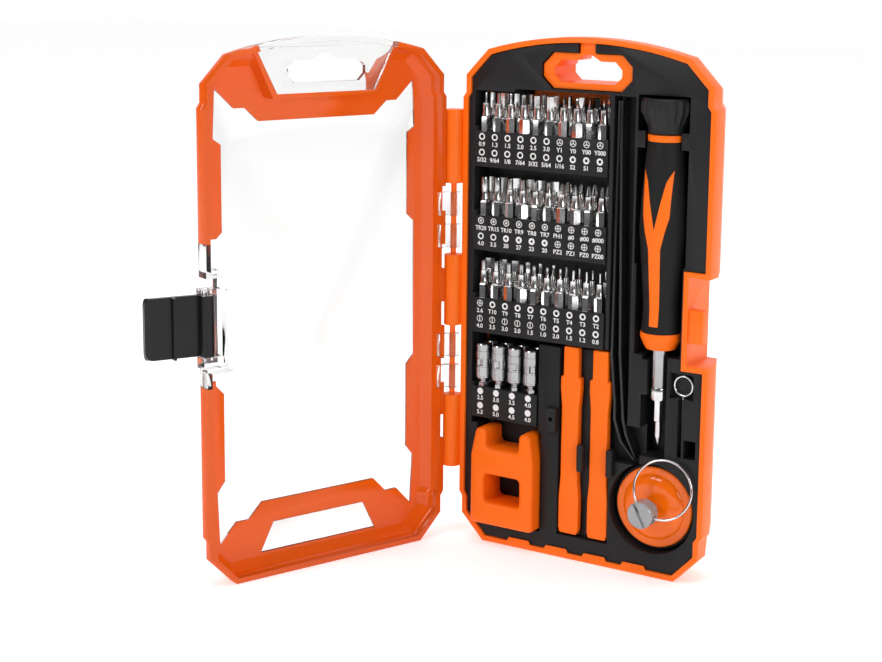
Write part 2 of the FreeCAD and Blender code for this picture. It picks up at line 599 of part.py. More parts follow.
def driver():
    """Precision driver: orange core, black grip with an orange inlay, spinning cap, bit holder."""
    span = "(driverNeck - driverWaist)"
    outer = [
        ("0", "driverWaist"),
        ("collarRadius * 0.95", "driverWaist"),
        ("ringRadius", f"driverWaist + {span} * 0.14"),
        ("collarRadius", f"driverWaist + {span} * 0.3"),
        ("swellRadius", f"driverWaist + {span} * 0.54"),
        ("swellRadius * 0.96", f"driverWaist + {span} * 0.7"),
        ("collarRadius", f"driverWaist + {span} * 0.87"),
        ("ringRadius", "driverNeck"),
        ("0", "driverNeck"),
    ]
    grip = driver_round("grip_round", outer)
    core_bore = rod("grip_bore", "z", "coreRadius", ("driverX", "driverY", "driverWaist - past"),
                    f"{span} + 2 * past")
    fork = plate("driver_fork", [
        (f"driverX + ({across})", f"driverWaist + {span} * {up}")
        for across, up in (
            ("-coreRadius / 3", 0.04), ("coreRadius / 3", 0.04), ("coreRadius / 2.2", 0.45),
            ("coreRadius", 0.62), ("coreRadius * 1.1", 0.86), ("coreRadius * 0.7", 0.8),
            ("0", 0.55), ("-coreRadius * 0.7", 0.8), ("-coreRadius * 1.1", 0.86),
            ("-coreRadius", 0.62), ("-coreRadius / 2.2", 0.45),
        )
    ], ("driverY - swellRadius - past", "driverY"))
    inlay = cut("driver_inlay_cut", common("driver_inlay_round", fork, driver_round("inlay_round", outer)),
                [rod("inlay_bore", "z", "coreRadius", ("driverX", "driverY", "driverWaist"), span)])
    node("driver_inlay", [inlay])
    node("driver_grip", [cut("driver_grip_cut", grip, [core_bore, link_to(fork, "driver_fork_again")])])

    core = driver_round("core_round", [
        ("0", "driverNose"),
        ("coreRadius * 1.07", "driverNose"),
        ("collarRadius", "driverNose + 0.7 * (driverWaist - driverNose)"),
        ("collarRadius", "driverWaist"),
        ("coreRadius", "driverWaist"),
        ("coreRadius", "driverNeck"),
        ("ringRadius", "driverNeck"),
        ("ringRadius", "driverRing"),
        ("0", "driverRing"),
    ])
    shaft_hole = rod("core_shaft_hole", "z", "shaftRadius", ("driverX", "driverY", "driverNose - past"),
                     "shaftTop - driverNose + past")
    pin_hole = rod("core_pin_hole", "z", "capPinRadius",
                   ("driverX", "driverY", "driverRing - capPinLong / 2"), "capPinLong")
    node("driver_core", [cut("driver_core_cut", core, [shaft_hole, pin_hole])])

    pin = rod("cap_pin", "z", "capPinRadius",
              ("driverX", "driverY", "driverRing - capPinLong / 2"), "capPinLong")
    node("driver_cap_pin", [pin])

    rise = "(driverTop - driverRing)"
    cap = driver_round("cap_round", [
        ("0", "driverRing + trayGap"),
        ("ringRadius * 0.97", "driverRing + trayGap"),
        ("ringRadius", f"driverRing + {rise} * 0.25"),
        ("capRadius * 0.97", f"driverRing + {rise} * 0.6"),
        ("capRadius", f"driverRing + {rise} * 0.75"),
        ("capRadius * 0.95", f"driverTop - {rise} * 0.08"),
        ("capRadius * 0.82", "driverTop"),
        ("0", "driverTop"),
    ])
    cap_bore = rod("cap_bore", "z", "capPinRadius + runGap", ("driverX", "driverY", "driverRing"),
                   "capPinLong / 2 + trayGap")
    node("driver_cap", [cut("driver_cap_cut", cap, [cap_bore])])

    bore_top = "bitTip + bitLong + magnetLong"
    shaft = rod("shaft_round", "z", "shaftRadius", ("driverX", "driverY", "shaftEnd"),
                "shaftTop - shaftEnd")
    shaft_bore = rod("shaft_bore", "z", "bitHole", ("driverX", "driverY", "shaftEnd - past"),
                     f"{bore_top} - shaftEnd + past")
    node("driver_shaft", [cut("driver_shaft_cut", shaft, [shaft_bore])])
    ferrule = rod("ferrule_round", "z", "ferruleRadius", ("driverX", "driverY", "ferruleEnd"),
                  "shaftEnd - ferruleEnd")
    ferrule_bore = rod("ferrule_bore", "z", "bitHole", ("driverX", "driverY", "ferruleEnd - past"),
                       "shaftEnd - ferruleEnd + 2 * past")
    node("driver_ferrule", [cut("driver_ferrule_cut", ferrule, [ferrule_bore])])
    magnet = rod("magnet_round", "z", "bitHole - runGap",
                 ("driverX", "driverY", "bitTip + bitLong"), "magnetLong")
    node("driver_magnet", [magnet])

    fitted_shank = bar("fitted_shank", 6, "bitAcross",
                       ("driverX", "driverY", "bitTip + bitLong - shankLong"), "shankLong")
    fitted_neck = rod("fitted_neck", "z", "neckRadius", ("driverX", "driverY", "bitTip + tipLong"),
                      "bitLong - shankLong - tipLong + past")
    fitted_tip = taper("fitted_tip", "neckRadius / 4", "neckRadius", ("driverX", "driverY", "bitTip"),
                       "tipLong")
    node("driver_bit", [fuse("driver_bit_solid", [fitted_shank, fitted_neck, fitted_tip])])


# ---------------------------------------------------------------- hand tools in the tray
def tweezers():
    """Two spring arms laid against each other at the tail, bent together at the tips."""
    depth = ("tongFace", "tongFace + tongDeep")
    drop = "(tongTop - tongWeld)"
    left = [
        ("tongTail - tongThick", "tongTop"),
        ("tongTail - tongThick", drop),
        ("tongTail - 1.6 * tongThick", f"{drop} / 2"),
        ("tongTail + 0.1 * tongThick", f"{drop} * 0.39"),
        ("tongTail + 0.1 * tongThick", f"{drop} * 0.35"),
        ("tongTail + 2.8 * tongThick", f"{drop} * 0.3"),
        ("tongTail + 8.8 * tongThick", f"{drop} * 0.261"),
        ("tongTail + 8.9 * tongThick", f"{drop} * 0.265"),
        ("tongTail + 3.7 * tongThick", f"{drop} * 0.305"),
        ("tongTail + 1.2 * tongThick", f"{drop} * 0.352"),
        ("tongTail + 1.1 * tongThick", f"{drop} * 0.39"),
        ("tongTail - 0.6 * tongThick", f"{drop} / 2"),
        ("tongTail", drop),
        ("tongTail", "tongTop"),
    ]
    right = [
        ("tongTail", "tongTop"),
        ("tongTail", drop),
        ("tongTail + 1.7 * tongThick", f"{drop} / 2"),
        ("tongTail + 3.1 * tongThick", f"{drop} * 0.39"),
        ("tongTail + 3.5 * tongThick", f"{drop} * 0.35"),
        ("tongTail + 5 * tongThick", f"{drop} * 0.315"),
        ("tongTail + 8.9 * tongThick", f"{drop} * 0.269"),
        ("tongTail + 9.2 * tongThick", f"{drop} * 0.272"),
        ("tongTail + 5.9 * tongThick", f"{drop} * 0.32"),
        ("tongTail + 4.6 * tongThick", f"{drop} * 0.352"),
        ("tongTail + 4.1 * tongThick", f"{drop} * 0.39"),
        ("tongTail + 2.7 * tongThick", f"{drop} / 2"),
        ("tongTail + tongThick", drop),
        ("tongTail + tongThick", "tongTop"),
    ]
    node("tweezers_arm_left", [plate("tong_left", left, depth)])
    node("tweezers_arm_right", [plate("tong_right", right, depth)])


def pry_tool(index):
    """Orange opening tool: narrow head, shoulders, slightly waisted body and a chisel foot."""
    middle = f"pryFirst + {index} * pryPitch"
    top = "pryLow + pryTall"
    right = [
        ("pryHalf * 0.85", "pryLow"),
        ("pryHalf", "pryLow + pryTall * 0.03"),
        ("pryHalf", "pryLow + pryTall * 0.2"),
        ("pryWaistHalf", "pryLow + pryTall * 0.3"),
        ("pryWaistHalf", f"{top} - pryHeadTall * 2"),
        ("pryHalf", f"{top} - pryHeadTall * 1.4"),
        ("pryHalf", f"{top} - pryHeadTall"),
        ("pryHeadHalf", f"{top} - pryHeadTall"),
        ("pryHeadHalf", top),
    ]
    points = [(f"{middle} + {across}", up) for across, up in right]
    points += [(f"{middle} - {across}", up) for across, up in reversed(right)]
    body = plate(f"pry_{index}", points, ("pryFace", "pryFace + pryThick"))
    node(f"pry_tool_{index + 1}", [body])


def magnetizer():
    """Orange block with a window and a notch to draw a bit through, magnets sealed beside them."""
    top = "magnetLow + magnetTall"
    corner = "notchDeep / 2"
    right = [
        ("magnetHalf - past", "magnetLow"),
        ("magnetHalf", "magnetLow + past"),
        ("magnetHalf", f"{top} - {corner}"),
        (f"magnetHalf - {corner}", top),
        ("notchHalf", top),
        ("notchHalf", f"{top} - notchDeep + {corner}"),
        (f"notchHalf - {corner}", f"{top} - notchDeep"),
    ]
    points = [(f"magnetX + {across}", up) for across, up in right]
    points += [(f"magnetX - ({across})", up) for across, up in reversed(right)]
    body = plate("magnetizer", points, ("magnetFront", "magnetBack"))
    sill = "magnetLow + windowBase"
    front = block("magnetizer_window", ("magnetX - windowHalf", "magnetX + windowHalf"),
                  ("magnetFront - past", "magnetFront + windowHalf"), (sill, f"{sill} + windowHeight"))
    back = block("magnetizer_narrow", ("magnetX - windowHalf * 0.7", "magnetX + windowHalf * 0.7"),
                 ("magnetFront", "magnetBack + past"),
                 (f"{sill} + windowHeight * 0.2", f"{sill} + windowHeight * 0.8"))

    def chips(stage):
        """Magnets either side of the window."""
        room = "(windowHalf + (magnetHalf - windowHalf) / 2)"
        return [
            block(f"chip_{stage}_{side}",
                  (f"magnetX {sign} {room} - chipThick / 2", f"magnetX {sign} {room} + chipThick / 2"),
                  ("magnetFront + 4 * past", "magnetFront + 4 * past + chipLong"),
                  (sill, f"{sill} + windowHeight"))
            for side, sign in (("left", "-"), ("right", "+"))
        ]

    node("magnetizer_body", [cut("magnetizer_cut", body, [front, back] + chips("room"))])
    node("magnetizer_magnets", chips("solid"))


def cup_round(name, profile):
    """Body turned about the suction cup's axis from a profile of radius and depth."""
    return turned(name, profile, "cupX", "0", "cupZ", axis="y")


def suction_cup():
    """Suction lifter: rubber cup, domed plate, knob on a stem and a split ring through the knob."""
    rubber = cup_round("cup_rubber", [
        ("0", "cupFace"),
        ("cupRadius", "cupFace"),
        ("cupRadius", "cupBack"),
        ("cupRadius - past", "cupBack"),
        ("cupStem * 2", "cupBack - 2 * past"),
        ("0", "cupBack - 2 * past"),
    ])
    node("suction_rubber", [rubber])
    dome = cup_round("cup_plate", [
        ("0", "domeFace"),
        ("cupStem * 2", "domeFace"),
        ("domeRadius * 0.8", "domeFace + (plateFace - domeFace) * 0.35"),
        ("domeRadius", "plateFace"),
        ("plateRadius", "plateFace"),
        ("plateRadius", "cupFace"),
        ("0", "cupFace"),
    ])
    node("suction_plate", [dome])
    knob = cup_round("cup_knob", [
        ("0", "knobFront"),
        ("knobRadius - past / 2", "knobFront"),
        ("knobRadius", "knobFront + past / 2"),
        ("knobRadius", "knobFront + knobLong"),
        ("cupStem", "knobFront + knobLong"),
        ("cupStem", "domeFace"),
        ("0", "domeFace"),
    ])
    hole = doc.addObject("Part::Cylinder", "knob_hole")
    hole.setExpression("Radius", bound("ringHole"))
    hole.setExpression("Height", bound("4 * knobRadius"))
    lean = Rotation(Vector(0, 1, 0), 90 - value("ringTurn"))
    along = lean.multVec(Vector(1, 0, 0))
    hole.Placement = Placement(ring_hole() - along * value("2 * knobRadius"),
                               lean * Rotation(Vector(0, 1, 0), 90))
    node("suction_knob", [cut("suction_knob_cut", knob, [hole])])

    ring = doc.addObject("Part::Torus", "split_ring")
    ring.setExpression("Radius1", bound("ringSize"))
    ring.setExpression("Radius2", bound("ringWire"))
    tip = Rotation(along, -value("ringLean"))
    outward = tip.multVec(lean.multVec(Vector(0, 0, 1)))
    ring.Placement = Placement(ring_hole() + outward * value("ringSize"),
                               tip * Rotation(Vector(1, 0, 0), 90))
    node("suction_ring", [ring])


def ring_hole():
    """Middle of the hole that the split ring passes through."""
    lean = Rotation(Vector(0, 1, 0), 90 - value("ringTurn"))
    outward = lean.multVec(Vector(0, 0, 1))
    middle = Vector(value("cupX"), value("ringHoleY"), value("cupZ"))
    return middle + outward * value("ringOffset")


def eject_pin():
    """Card eject pin: wire ring with a straight stem."""
    ring = doc.addObject("Part::Torus", "pin_ring")
    ring.setExpression("Radius1", bound("pinRing"))
    ring.setExpression("Radius2", bound("pinWire"))
    ring.Placement = Placement(Vector(), Rotation(Vector(1, 0, 0), 90))
    place(ring, "pinX", "pinY", "pinRingZ")
    stem = rod("pin_stem", "z", "pinWire", ("pinX", "pinY", "pinTip"), "pinRingZ - pinRing - pinTip")
    node("eject_pin", [fuse("eject_pin_solid", [ring, stem])])


# ---------------------------------------------------------------- lid
def knuckle_lows():
    """Bottom of each hinge knuckle of the lid."""
    return [
        f"{window} + knuckleFirst + {step} * knuckleNext"
        for window in ("windowLow", "windowHigh") for step in (0, 1)
    ]


def knuckle_webs(stage):
    """Webs that carry the knuckles out from the lid's wall."""
    return [
        block(f"web_{stage}_{index}", ("-(caseHalf + hingeGap)", "-(caseHalf - rimWall)"),
              ("-knuckleRadius", "-runGap * 5"), (low, f"{low} + knuckleTall"))
        for index, low in enumerate(knuckle_lows())
    ]


def clear_zones(stage):
    """Prisms that mark which parts of the lid are moulded clear."""
    lid_through = ("-lidDeep - past", "past")
    pane = plate(f"pane_{stage}", mirrored([
        ("paneLow - past", "paneLow"),
        ("paneHalf - 15 * past", "footPaneLow + 16 * past"),
        ("paneHalf - 9 * past", "footPaneLow + 16 * past"),
        ("paneHalf - past", "footPaneLow + 7.5 * past"),
        ("paneHalf", "paneLow + 7.6 * past"),
        ("paneWaist", "paneLow + 12.4 * past"),
        ("paneWaist", "sideLow - 6 * past"),
        ("paneHalf", "sideLow - 2 * past"),
        ("paneHalf", "sideHigh - past"),
        ("paneWaist", "sideHigh + 2.5 * past"),
        ("paneWaist", "paneHigh - 8.7 * past"),
        ("paneHalf", "paneHigh - 6.2 * past"),
        ("paneHalf - past", "paneHigh + 14.3 * past"),
        ("paneHalf - 9.8 * past", "paneHigh + 5.8 * past"),
        ("paneHalf - 15 * past", "paneHigh + 5.8 * past"),
        ("paneLow - past", "paneHigh"),
    ]), lid_through)
    foot = plate(f"foot_pane_{stage}", mirrored([
        ("footPaneHalf", "footPaneLow"),
        ("footPaneHalf - footPaneTall / 2", "footPaneLow + footPaneTall"),
    ]), lid_through)
    side = block(f"side_pane_{stage}", ("paneWaist", "caseHalf + past"), lid_through,
                 ("sideLow", "sideHigh"))
    top = plate(f"plateau_{stage}", mirrored([
        ("plateauFootHalf", "plateauLow"),
        ("plateauTopHalf", "plateauHigh"),
        ("plateauTopHalf", "plateauHigh + archRise"),
    ]), lid_through)
    return [pane, foot, side, top]


def lid():
    """Lid: clear panes moulded into an orange frame, with knuckles and latch ears."""
    hinge_x = "-(caseHalf + hingeGap)"
    outer = cut("lid_outer", lid_volume("lid_out", "0", "0", "-lidDeep"),
                [recess_block("lid_recess", "0")])
    inner = cut("lid_inner", lid_volume("lid_in", "rimWall", "past", "-(lidDeep - lidFloor)"),
                [recess_block("lid_recess_wall", "rimWall")])
    tub = cut("lid_tub", outer, [inner])
    border = plate("plateau_border", mirrored([
        ("plateauFootHalf + borderWide", "plateauLow - borderWide"),
        ("plateauTopHalf + borderWide", "plateauHigh"),
        ("plateauTopHalf + borderWide", "plateauHigh + archRise"),
    ]), ("-lidDeep", "-plateauFace"))
    border = common("lid_border", border, lid_volume("lid_trim", "0", "0", "-lidDeep"))
    hollow = plate("plateau_hollow", mirrored([
        ("plateauFootHalf", "plateauLow"),
        ("plateauTopHalf", "plateauHigh"),
    ]), ("-lidDeep - past", "-(plateauFace + plateauThick)"))
    slot = slot_shape("lid_slot", "lidSlotHalf", ("-lidDeep - past", "past"))
    notches = [
        block(f"lid_notch_{index}", ("-caseHalf - past", "-(caseHalf - rimWall * 0.8)"),
              ("-lidBand / 2", "past"),
              (f"windowLow - 20 * past + {index} * 26 * past", f"windowLow - 9 * past + {index} * 26 * past"))
        for index in range(5)
    ]
    crown = arch_back("lid_crown", ("-lidBand", "-(lidBand - lidFloor)"))
    solid = cut("lid_solid", fuse("lid_fused", [tub, border, crown]), [hollow, slot] + notches)
    frame = cut("lid_frame_cut", solid, clear_zones("cut") + knuckle_webs("cut"))
    node("lid_frame", [frame], "lid")

    panes = common("lid_panes", link_to(solid, "lid_solid_again"),
                   fuse("clear_fused", clear_zones("keep")))
    knuckles = [
        rod(f"knuckle_{index}", "z", "knuckleRadius", (hinge_x, "0", low), "knuckleTall")
        for index, low in enumerate(knuckle_lows())
    ]
    bores = [
        rod(f"knuckle_bore_{index}", "z", "axleRadius + runGap", (hinge_x, "0", f"{low} - past"),
            "knuckleTall + 2 * past")
        for index, low in enumerate(knuckle_lows())
    ]
    ears = [
        block(f"ear_{side}", ("caseHalf - recessDeep - rimWall / 2", "latchPinX + latchKnuckle"),
              ("-(latchPinY + latchKnuckle)", "-(latchPinY - latchKnuckle)"), span)
        for side, span in (("low", ("recessLow - rimWall / 2", "latchLow - 2 * runGap")),
                           ("high", ("latchLow + latchTall + 2 * runGap",
                                     "latchLow + latchTall + 2 * runGap + earTall")))
    ]
    pin_hole = rod("ear_hole", "z", "latchPinRadius", ("latchPinX", "-latchPinY", "recessLow + past"),
                   "latchLow + latchTall + earTall - recessLow")
    clear = cut("lid_clear", fuse("lid_clear_solid", [panes] + knuckles + knuckle_webs("keep") + ears),
                bores + [pin_hole])
    node("lid_panel", [clear], "lid")
    pin = rod("latch_pin_round", "z", "latchPinRadius",
              ("latchPinX", "-latchPinY", "recessLow + past"),
              "latchLow + latchTall + earTall - recessLow - 2 * past")
    node("latch_pin", [pin], "lid")


def latch():
    """Black latch: knuckle on the lid's pin, flat flap and the rib that hooks behind the catch."""
    span = ("latchLow", "latchLow + latchTall")
    knuckle = rod("latch_knuckle", "z", "latchKnuckle", ("latchPinX", "-latchPinY", "latchLow"),
                  "latchTall")
    outside = "latchPinX + latchKnuckle"
    flap = block("latch_flap", (f"{outside} - latchThick", outside),
                 ("-latchPinY", "latchReach - latchPinY"), span)
    rib = block("latch_rib", ("latchPinX - latchRibIn", f"{outside} - latchThick / 2"),
                ("latchRibAt - latchPinY", "latchRibAt - latchPinY + 1.2 * past"), span)
    lip = block("latch_lip", (f"{outside} - latchThick", f"{outside} + past / 2"),
                ("latchReach - latchPinY - past", "latchReach - latchPinY"), span)
    bore = rod("latch_bore", "z", "latchPinRadius + runGap",
               ("latchPinX", "-latchPinY", "latchLow - past"), "latchTall + 2 * past")
    node("latch", [cut("latch_cut", fuse("latch_solid", [knuckle, flap, rib, lip]), [bore])], "latch")


BIT_GROUPS = [
    ("bits_hex_small", 0, "rowFront", 0, "hex", (0.9, 1.3, 1.5, 2.0, 2.5, 3.0)),
    ("bits_tri_wing", 0, "rowFront", 6, "star", (3.0, 2.6, 2.2, 2.0)),
    ("bits_hex_inch", 0, "rowBack", 0, "hex", (3.97, 3.57, 3.17, 2.78, 2.38, 1.98, 1.59)),
    ("bits_square", 0, "rowBack", 7, "square", (2.9, 2.3, 1.9)),
    ("bits_star_bored", 1, "rowFront", 0, "star", (3.8, 3.3, 2.7, 2.5, 2.3, 2.0)),
    ("bits_cross", 1, "rowFront", 6, "cross", (1.6, 1.2, 1.0, 0.8)),
    ("bits_hex_large", 1, "rowBack", 0, "hex", (4.0, 3.5)),
    ("bits_triangle", 1, "rowBack", 2, "triangle", (3.0, 2.7, 2.3, 2.0)),
    ("bits_cross_ribbed", 1, "rowBack", 6, "cross", (2.2, 1.6, 1.2, 1.0)),
    ("bits_star", 2, "rowFront", 0, "star", (2.6, 2.7, 2.5, 2.3, 2.0, 1.7, 1.4, 1.3, 1.1, 0.9)),
    ("bits_slot", 2, "rowBack", 0, "slot", (4.0, 3.5, 3.0, 2.0, 1.5, 1.0)),
    ("bits_five_point", 2, "rowBack", 6, "star", (2.0, 1.5, 1.2, 0.8)),
]

base_shell()
tray_insert()
for rack_index, rack_low in enumerate(rack_lows()):
    rack(rack_index, rack_low)
for group in BIT_GROUPS:
    bit_group(*group)
socket_group("sockets_front", "socketFront", (2.5, 3.0, 3.5, 4.0))
socket_group("sockets_back", "socketBack", (5.5, 5.0, 4.5, 4.0))
driver()
tweezers()
for tool in range(2):
    pry_tool(tool)
magnetizer()
suction_cup()
eject_pin()
lid()
latch()
doc.recompute()

for thing in doc.Objects:
    if "Invalid" in thing.State or "Error" in thing.State:
        raise RuntimeError(f"{thing.Label} did not compute")
os.makedirs("parts", exist_ok=True)
for group in NODES:
    shape = group.Shape
    if shape.isNull() or not shape.isValid() or not shape.Solids:
        raise RuntimeError(f"{group.Label} has no sound solid")
    shape.exportStep(f"parts/{group.Label}.step")
    box = shape.BoundBox
    spans = ((box.XMin, box.XMax), (box.YMin, box.YMax), (box.ZMin, box.ZMax))
    reach = " ".join(f"{axis} {low:.1f}..{high:.1f}" for axis, (low, high) in zip("xyz", spans))
    print(f"{group.Label}: {len(shape.Solids)} solid(s), {shape.Volume:.0f} mm3, {reach}")
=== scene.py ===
"""Looks of the precision screwdriver set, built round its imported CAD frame.

Lengths are metres in the frame of the CAD model: +X runs across the base from the hinge to the
latch, +Y into the base, +Z up. MM turns a maker's millimetres into metres.
"""
from __future__ import annotations

import logging
import math
from contextlib import contextmanager
from dataclasses import dataclass
from enum import Enum
from functools import cache
from typing import Callable, Iterator, Sequence

import bpy
from mathutils import Matrix, Vector

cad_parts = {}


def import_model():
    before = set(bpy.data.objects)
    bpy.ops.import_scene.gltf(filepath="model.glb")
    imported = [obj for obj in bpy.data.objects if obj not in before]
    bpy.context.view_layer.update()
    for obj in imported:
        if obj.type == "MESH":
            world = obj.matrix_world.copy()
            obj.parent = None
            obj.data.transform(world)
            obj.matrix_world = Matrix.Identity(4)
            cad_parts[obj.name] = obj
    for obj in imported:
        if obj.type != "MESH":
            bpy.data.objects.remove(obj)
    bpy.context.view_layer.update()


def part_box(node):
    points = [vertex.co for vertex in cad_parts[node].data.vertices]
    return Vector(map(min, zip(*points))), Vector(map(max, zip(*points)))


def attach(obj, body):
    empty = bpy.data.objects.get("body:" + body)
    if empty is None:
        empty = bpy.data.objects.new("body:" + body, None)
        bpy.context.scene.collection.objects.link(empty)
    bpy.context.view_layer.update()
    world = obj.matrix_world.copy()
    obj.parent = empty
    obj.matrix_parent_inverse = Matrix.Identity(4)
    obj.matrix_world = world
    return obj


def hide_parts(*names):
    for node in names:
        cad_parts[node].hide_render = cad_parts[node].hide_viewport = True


LOG = logging.getLogger("screwdriver_set")
MM = 0.001
Pair = tuple[float, float]
Triple = tuple[float, float, float]
Profile = Sequence[Pair]
Piece = bpy.types.Object
End = tuple[bpy.types.Node, str | int]

# Millimetres within which vertices merge, and degrees within which faces join or shade smoothly.
WELD = 0.001
CAD_WELD = 0.002
CAD_FLAT = 0.6
CAD_SHARP = 28
SAME_SIZE = 1e-9

# Noise of the two node groups, and what every material has in common.
PIT_DETAIL = 2.0
CLOUD_DETAIL = 4.0
CLOUD_ROUGHNESS = 0.6
MARK_STRETCH = (0.12, 0.12, 1.0)
MARK_DETAIL = 3.0
MARK_PATCHES = 160.0
COAT_ROUGHNESS = 0.12
GLOSSIEST = 0.02
RELIEF_DEPTH = 0.1


# ---- finishes
def preset(node: bpy.types.Node, values: dict[str | int, object]) -> None:
    """Set inputs of a node."""
    for socket, value in values.items():
        node.inputs[socket].default_value = value


def wire(tree: bpy.types.NodeTree, start: End, end: End) -> None:
    """Link one node's output to another's input."""
    tree.links.new(start[0].outputs[start[1]], end[0].inputs[end[1]])


def effect_group(title: str, **settings: float) -> bpy.types.NodeTree:
    """New node group that takes a place and some settings, and gives a height and a variation.

    Args:
        title: what the group is called.
        settings: the name and default of each setting.

    Returns:
        The group, with its input and output nodes.
    """
    tree = bpy.data.node_groups.new(title, "ShaderNodeTree")
    tree.interface.new_socket(name="Vector", in_out="INPUT", socket_type="NodeSocketVector")
    for name, value in settings.items():
        item = tree.interface.new_socket(name=name, in_out="INPUT", socket_type="NodeSocketFloat")
        item.default_value = value
    for name in ("Height", "Variation"):
        tree.interface.new_socket(name=name, in_out="OUTPUT", socket_type="NodeSocketFloat")
    tree.nodes.new("NodeGroupInput").name = "in"
    tree.nodes.new("NodeGroupOutput").name = "out"
    return tree


@cache
def grain_group() -> bpy.types.NodeTree:
    """Node group of moulded grain: a fine pitted height and a slow cloudy variation.

    Returns:
        The group, built once.
    """
    tree = effect_group("moulded_grain", Pits=2500.0, Clouds=45.0)
    inlet, outlet = tree.nodes["in"], tree.nodes["out"]
    pits = tree.nodes.new("ShaderNodeTexNoise")
    preset(pits, {"Detail": PIT_DETAIL})
    clouds = tree.nodes.new("ShaderNodeTexNoise")
    preset(clouds, {"Detail": CLOUD_DETAIL, "Roughness": CLOUD_ROUGHNESS})
    for texture, scale in ((pits, "Pits"), (clouds, "Clouds")):
        wire(tree, (inlet, "Vector"), (texture, "Vector"))
        wire(tree, (inlet, scale), (texture, "Scale"))
    wire(tree, (pits, "Fac"), (outlet, "Height"))
    wire(tree, (clouds, "Fac"), (outlet, "Variation"))
    return tree


@cache
def brushed_group() -> bpy.types.NodeTree:
    """Node group of tooling marks: noise drawn out round the piece's upright axis.

    Returns:
        The group, built once.
    """
    tree = effect_group("tooling_marks", Scale=900.0)
    inlet, outlet = tree.nodes["in"], tree.nodes["out"]
    stretch = tree.nodes.new("ShaderNodeVectorMath")
    stretch.operation = "MULTIPLY"
    preset(stretch, {1: MARK_STRETCH})
    fine = tree.nodes.new("ShaderNodeTexNoise")
    preset(fine, {"Detail": MARK_DETAIL})
    broad = tree.nodes.new("ShaderNodeTexNoise")
    preset(broad, {"Scale": MARK_PATCHES})
    wire(tree, (inlet, "Vector"), (stretch, 0))
    wire(tree, (stretch, "Vector"), (fine, "Vector"))
    wire(tree, (inlet, "Scale"), (fine, "Scale"))
    wire(tree, (inlet, "Vector"), (broad, "Vector"))
    wire(tree, (fine, "Fac"), (outlet, "Height"))
    wire(tree, (broad, "Fac"), (outlet, "Variation"))
    return tree


@dataclass(frozen=True)
class Finish:
    """A surface: its colour and how it varies, its gloss, and the texture pressed into it."""

    name: str
    colour: Triple
    shade: Triple
    roughness: float
    spread: float = 0.06
    bump: float = 0.05
    pits: float = 2500.0
    metallic: float = 0.0
    coat: float = 0.0
    transmission: float = 0.0
    ior: float = 1.49
    specular: float = 0.5
    tooled: bool = False

    @cache
    def material(self) -> bpy.types.Material:
        """Material for this finish, built the first time that it is asked for.

        Returns:
            The material.
        """
        material = bpy.data.materials.new(f"{self.name}_finish")
        material.use_nodes = True
        tree = material.node_tree
        nodes = tree.nodes
        shader = nodes["Principled BSDF"]
        preset(shader, {
            "Metallic": self.metallic, "IOR": self.ior, "Coat Weight": self.coat,
            "Coat Roughness": COAT_ROUGHNESS, "Transmission Weight": self.transmission,
            "Specular IOR Level": self.specular})
        place = nodes.new("ShaderNodeTexCoord")
        effect = nodes.new("ShaderNodeGroup")
        effect.node_tree = brushed_group() if self.tooled else grain_group()
        if not self.tooled:
            preset(effect, {"Pits": self.pits})
        wire(tree, (place, "Object"), (effect, "Vector"))
        tint = nodes.new("ShaderNodeMix")
        tint.data_type = "RGBA"
        preset(tint, {"A": (*self.colour, 1.0), "B": (*self.shade, 1.0)})
        wire(tree, (effect, "Variation"), (tint, "Factor"))
        wire(tree, (tint, "Result"), (shader, "Base Color"))
        gloss = nodes.new("ShaderNodeMapRange")
        preset(gloss, {"To Min": max(GLOSSIEST, self.roughness - self.spread),
                       "To Max": self.roughness + self.spread})
        wire(tree, (effect, "Variation"), (gloss, "Value"))
        wire(tree, (gloss, "Result"), (shader, "Roughness"))
        relief = nodes.new("ShaderNodeBump")
        preset(relief, {"Strength": self.bump, "Distance": RELIEF_DEPTH * MM})
        wire(tree, (effect, "Height"), (relief, "Height"))
        wire(tree, (relief, "Normal"), (shader, "Normal"))
        return material


ORANGE = (1.0, 0.165, 0.003)
ORANGE_SHADE = (0.94, 0.145, 0.002)


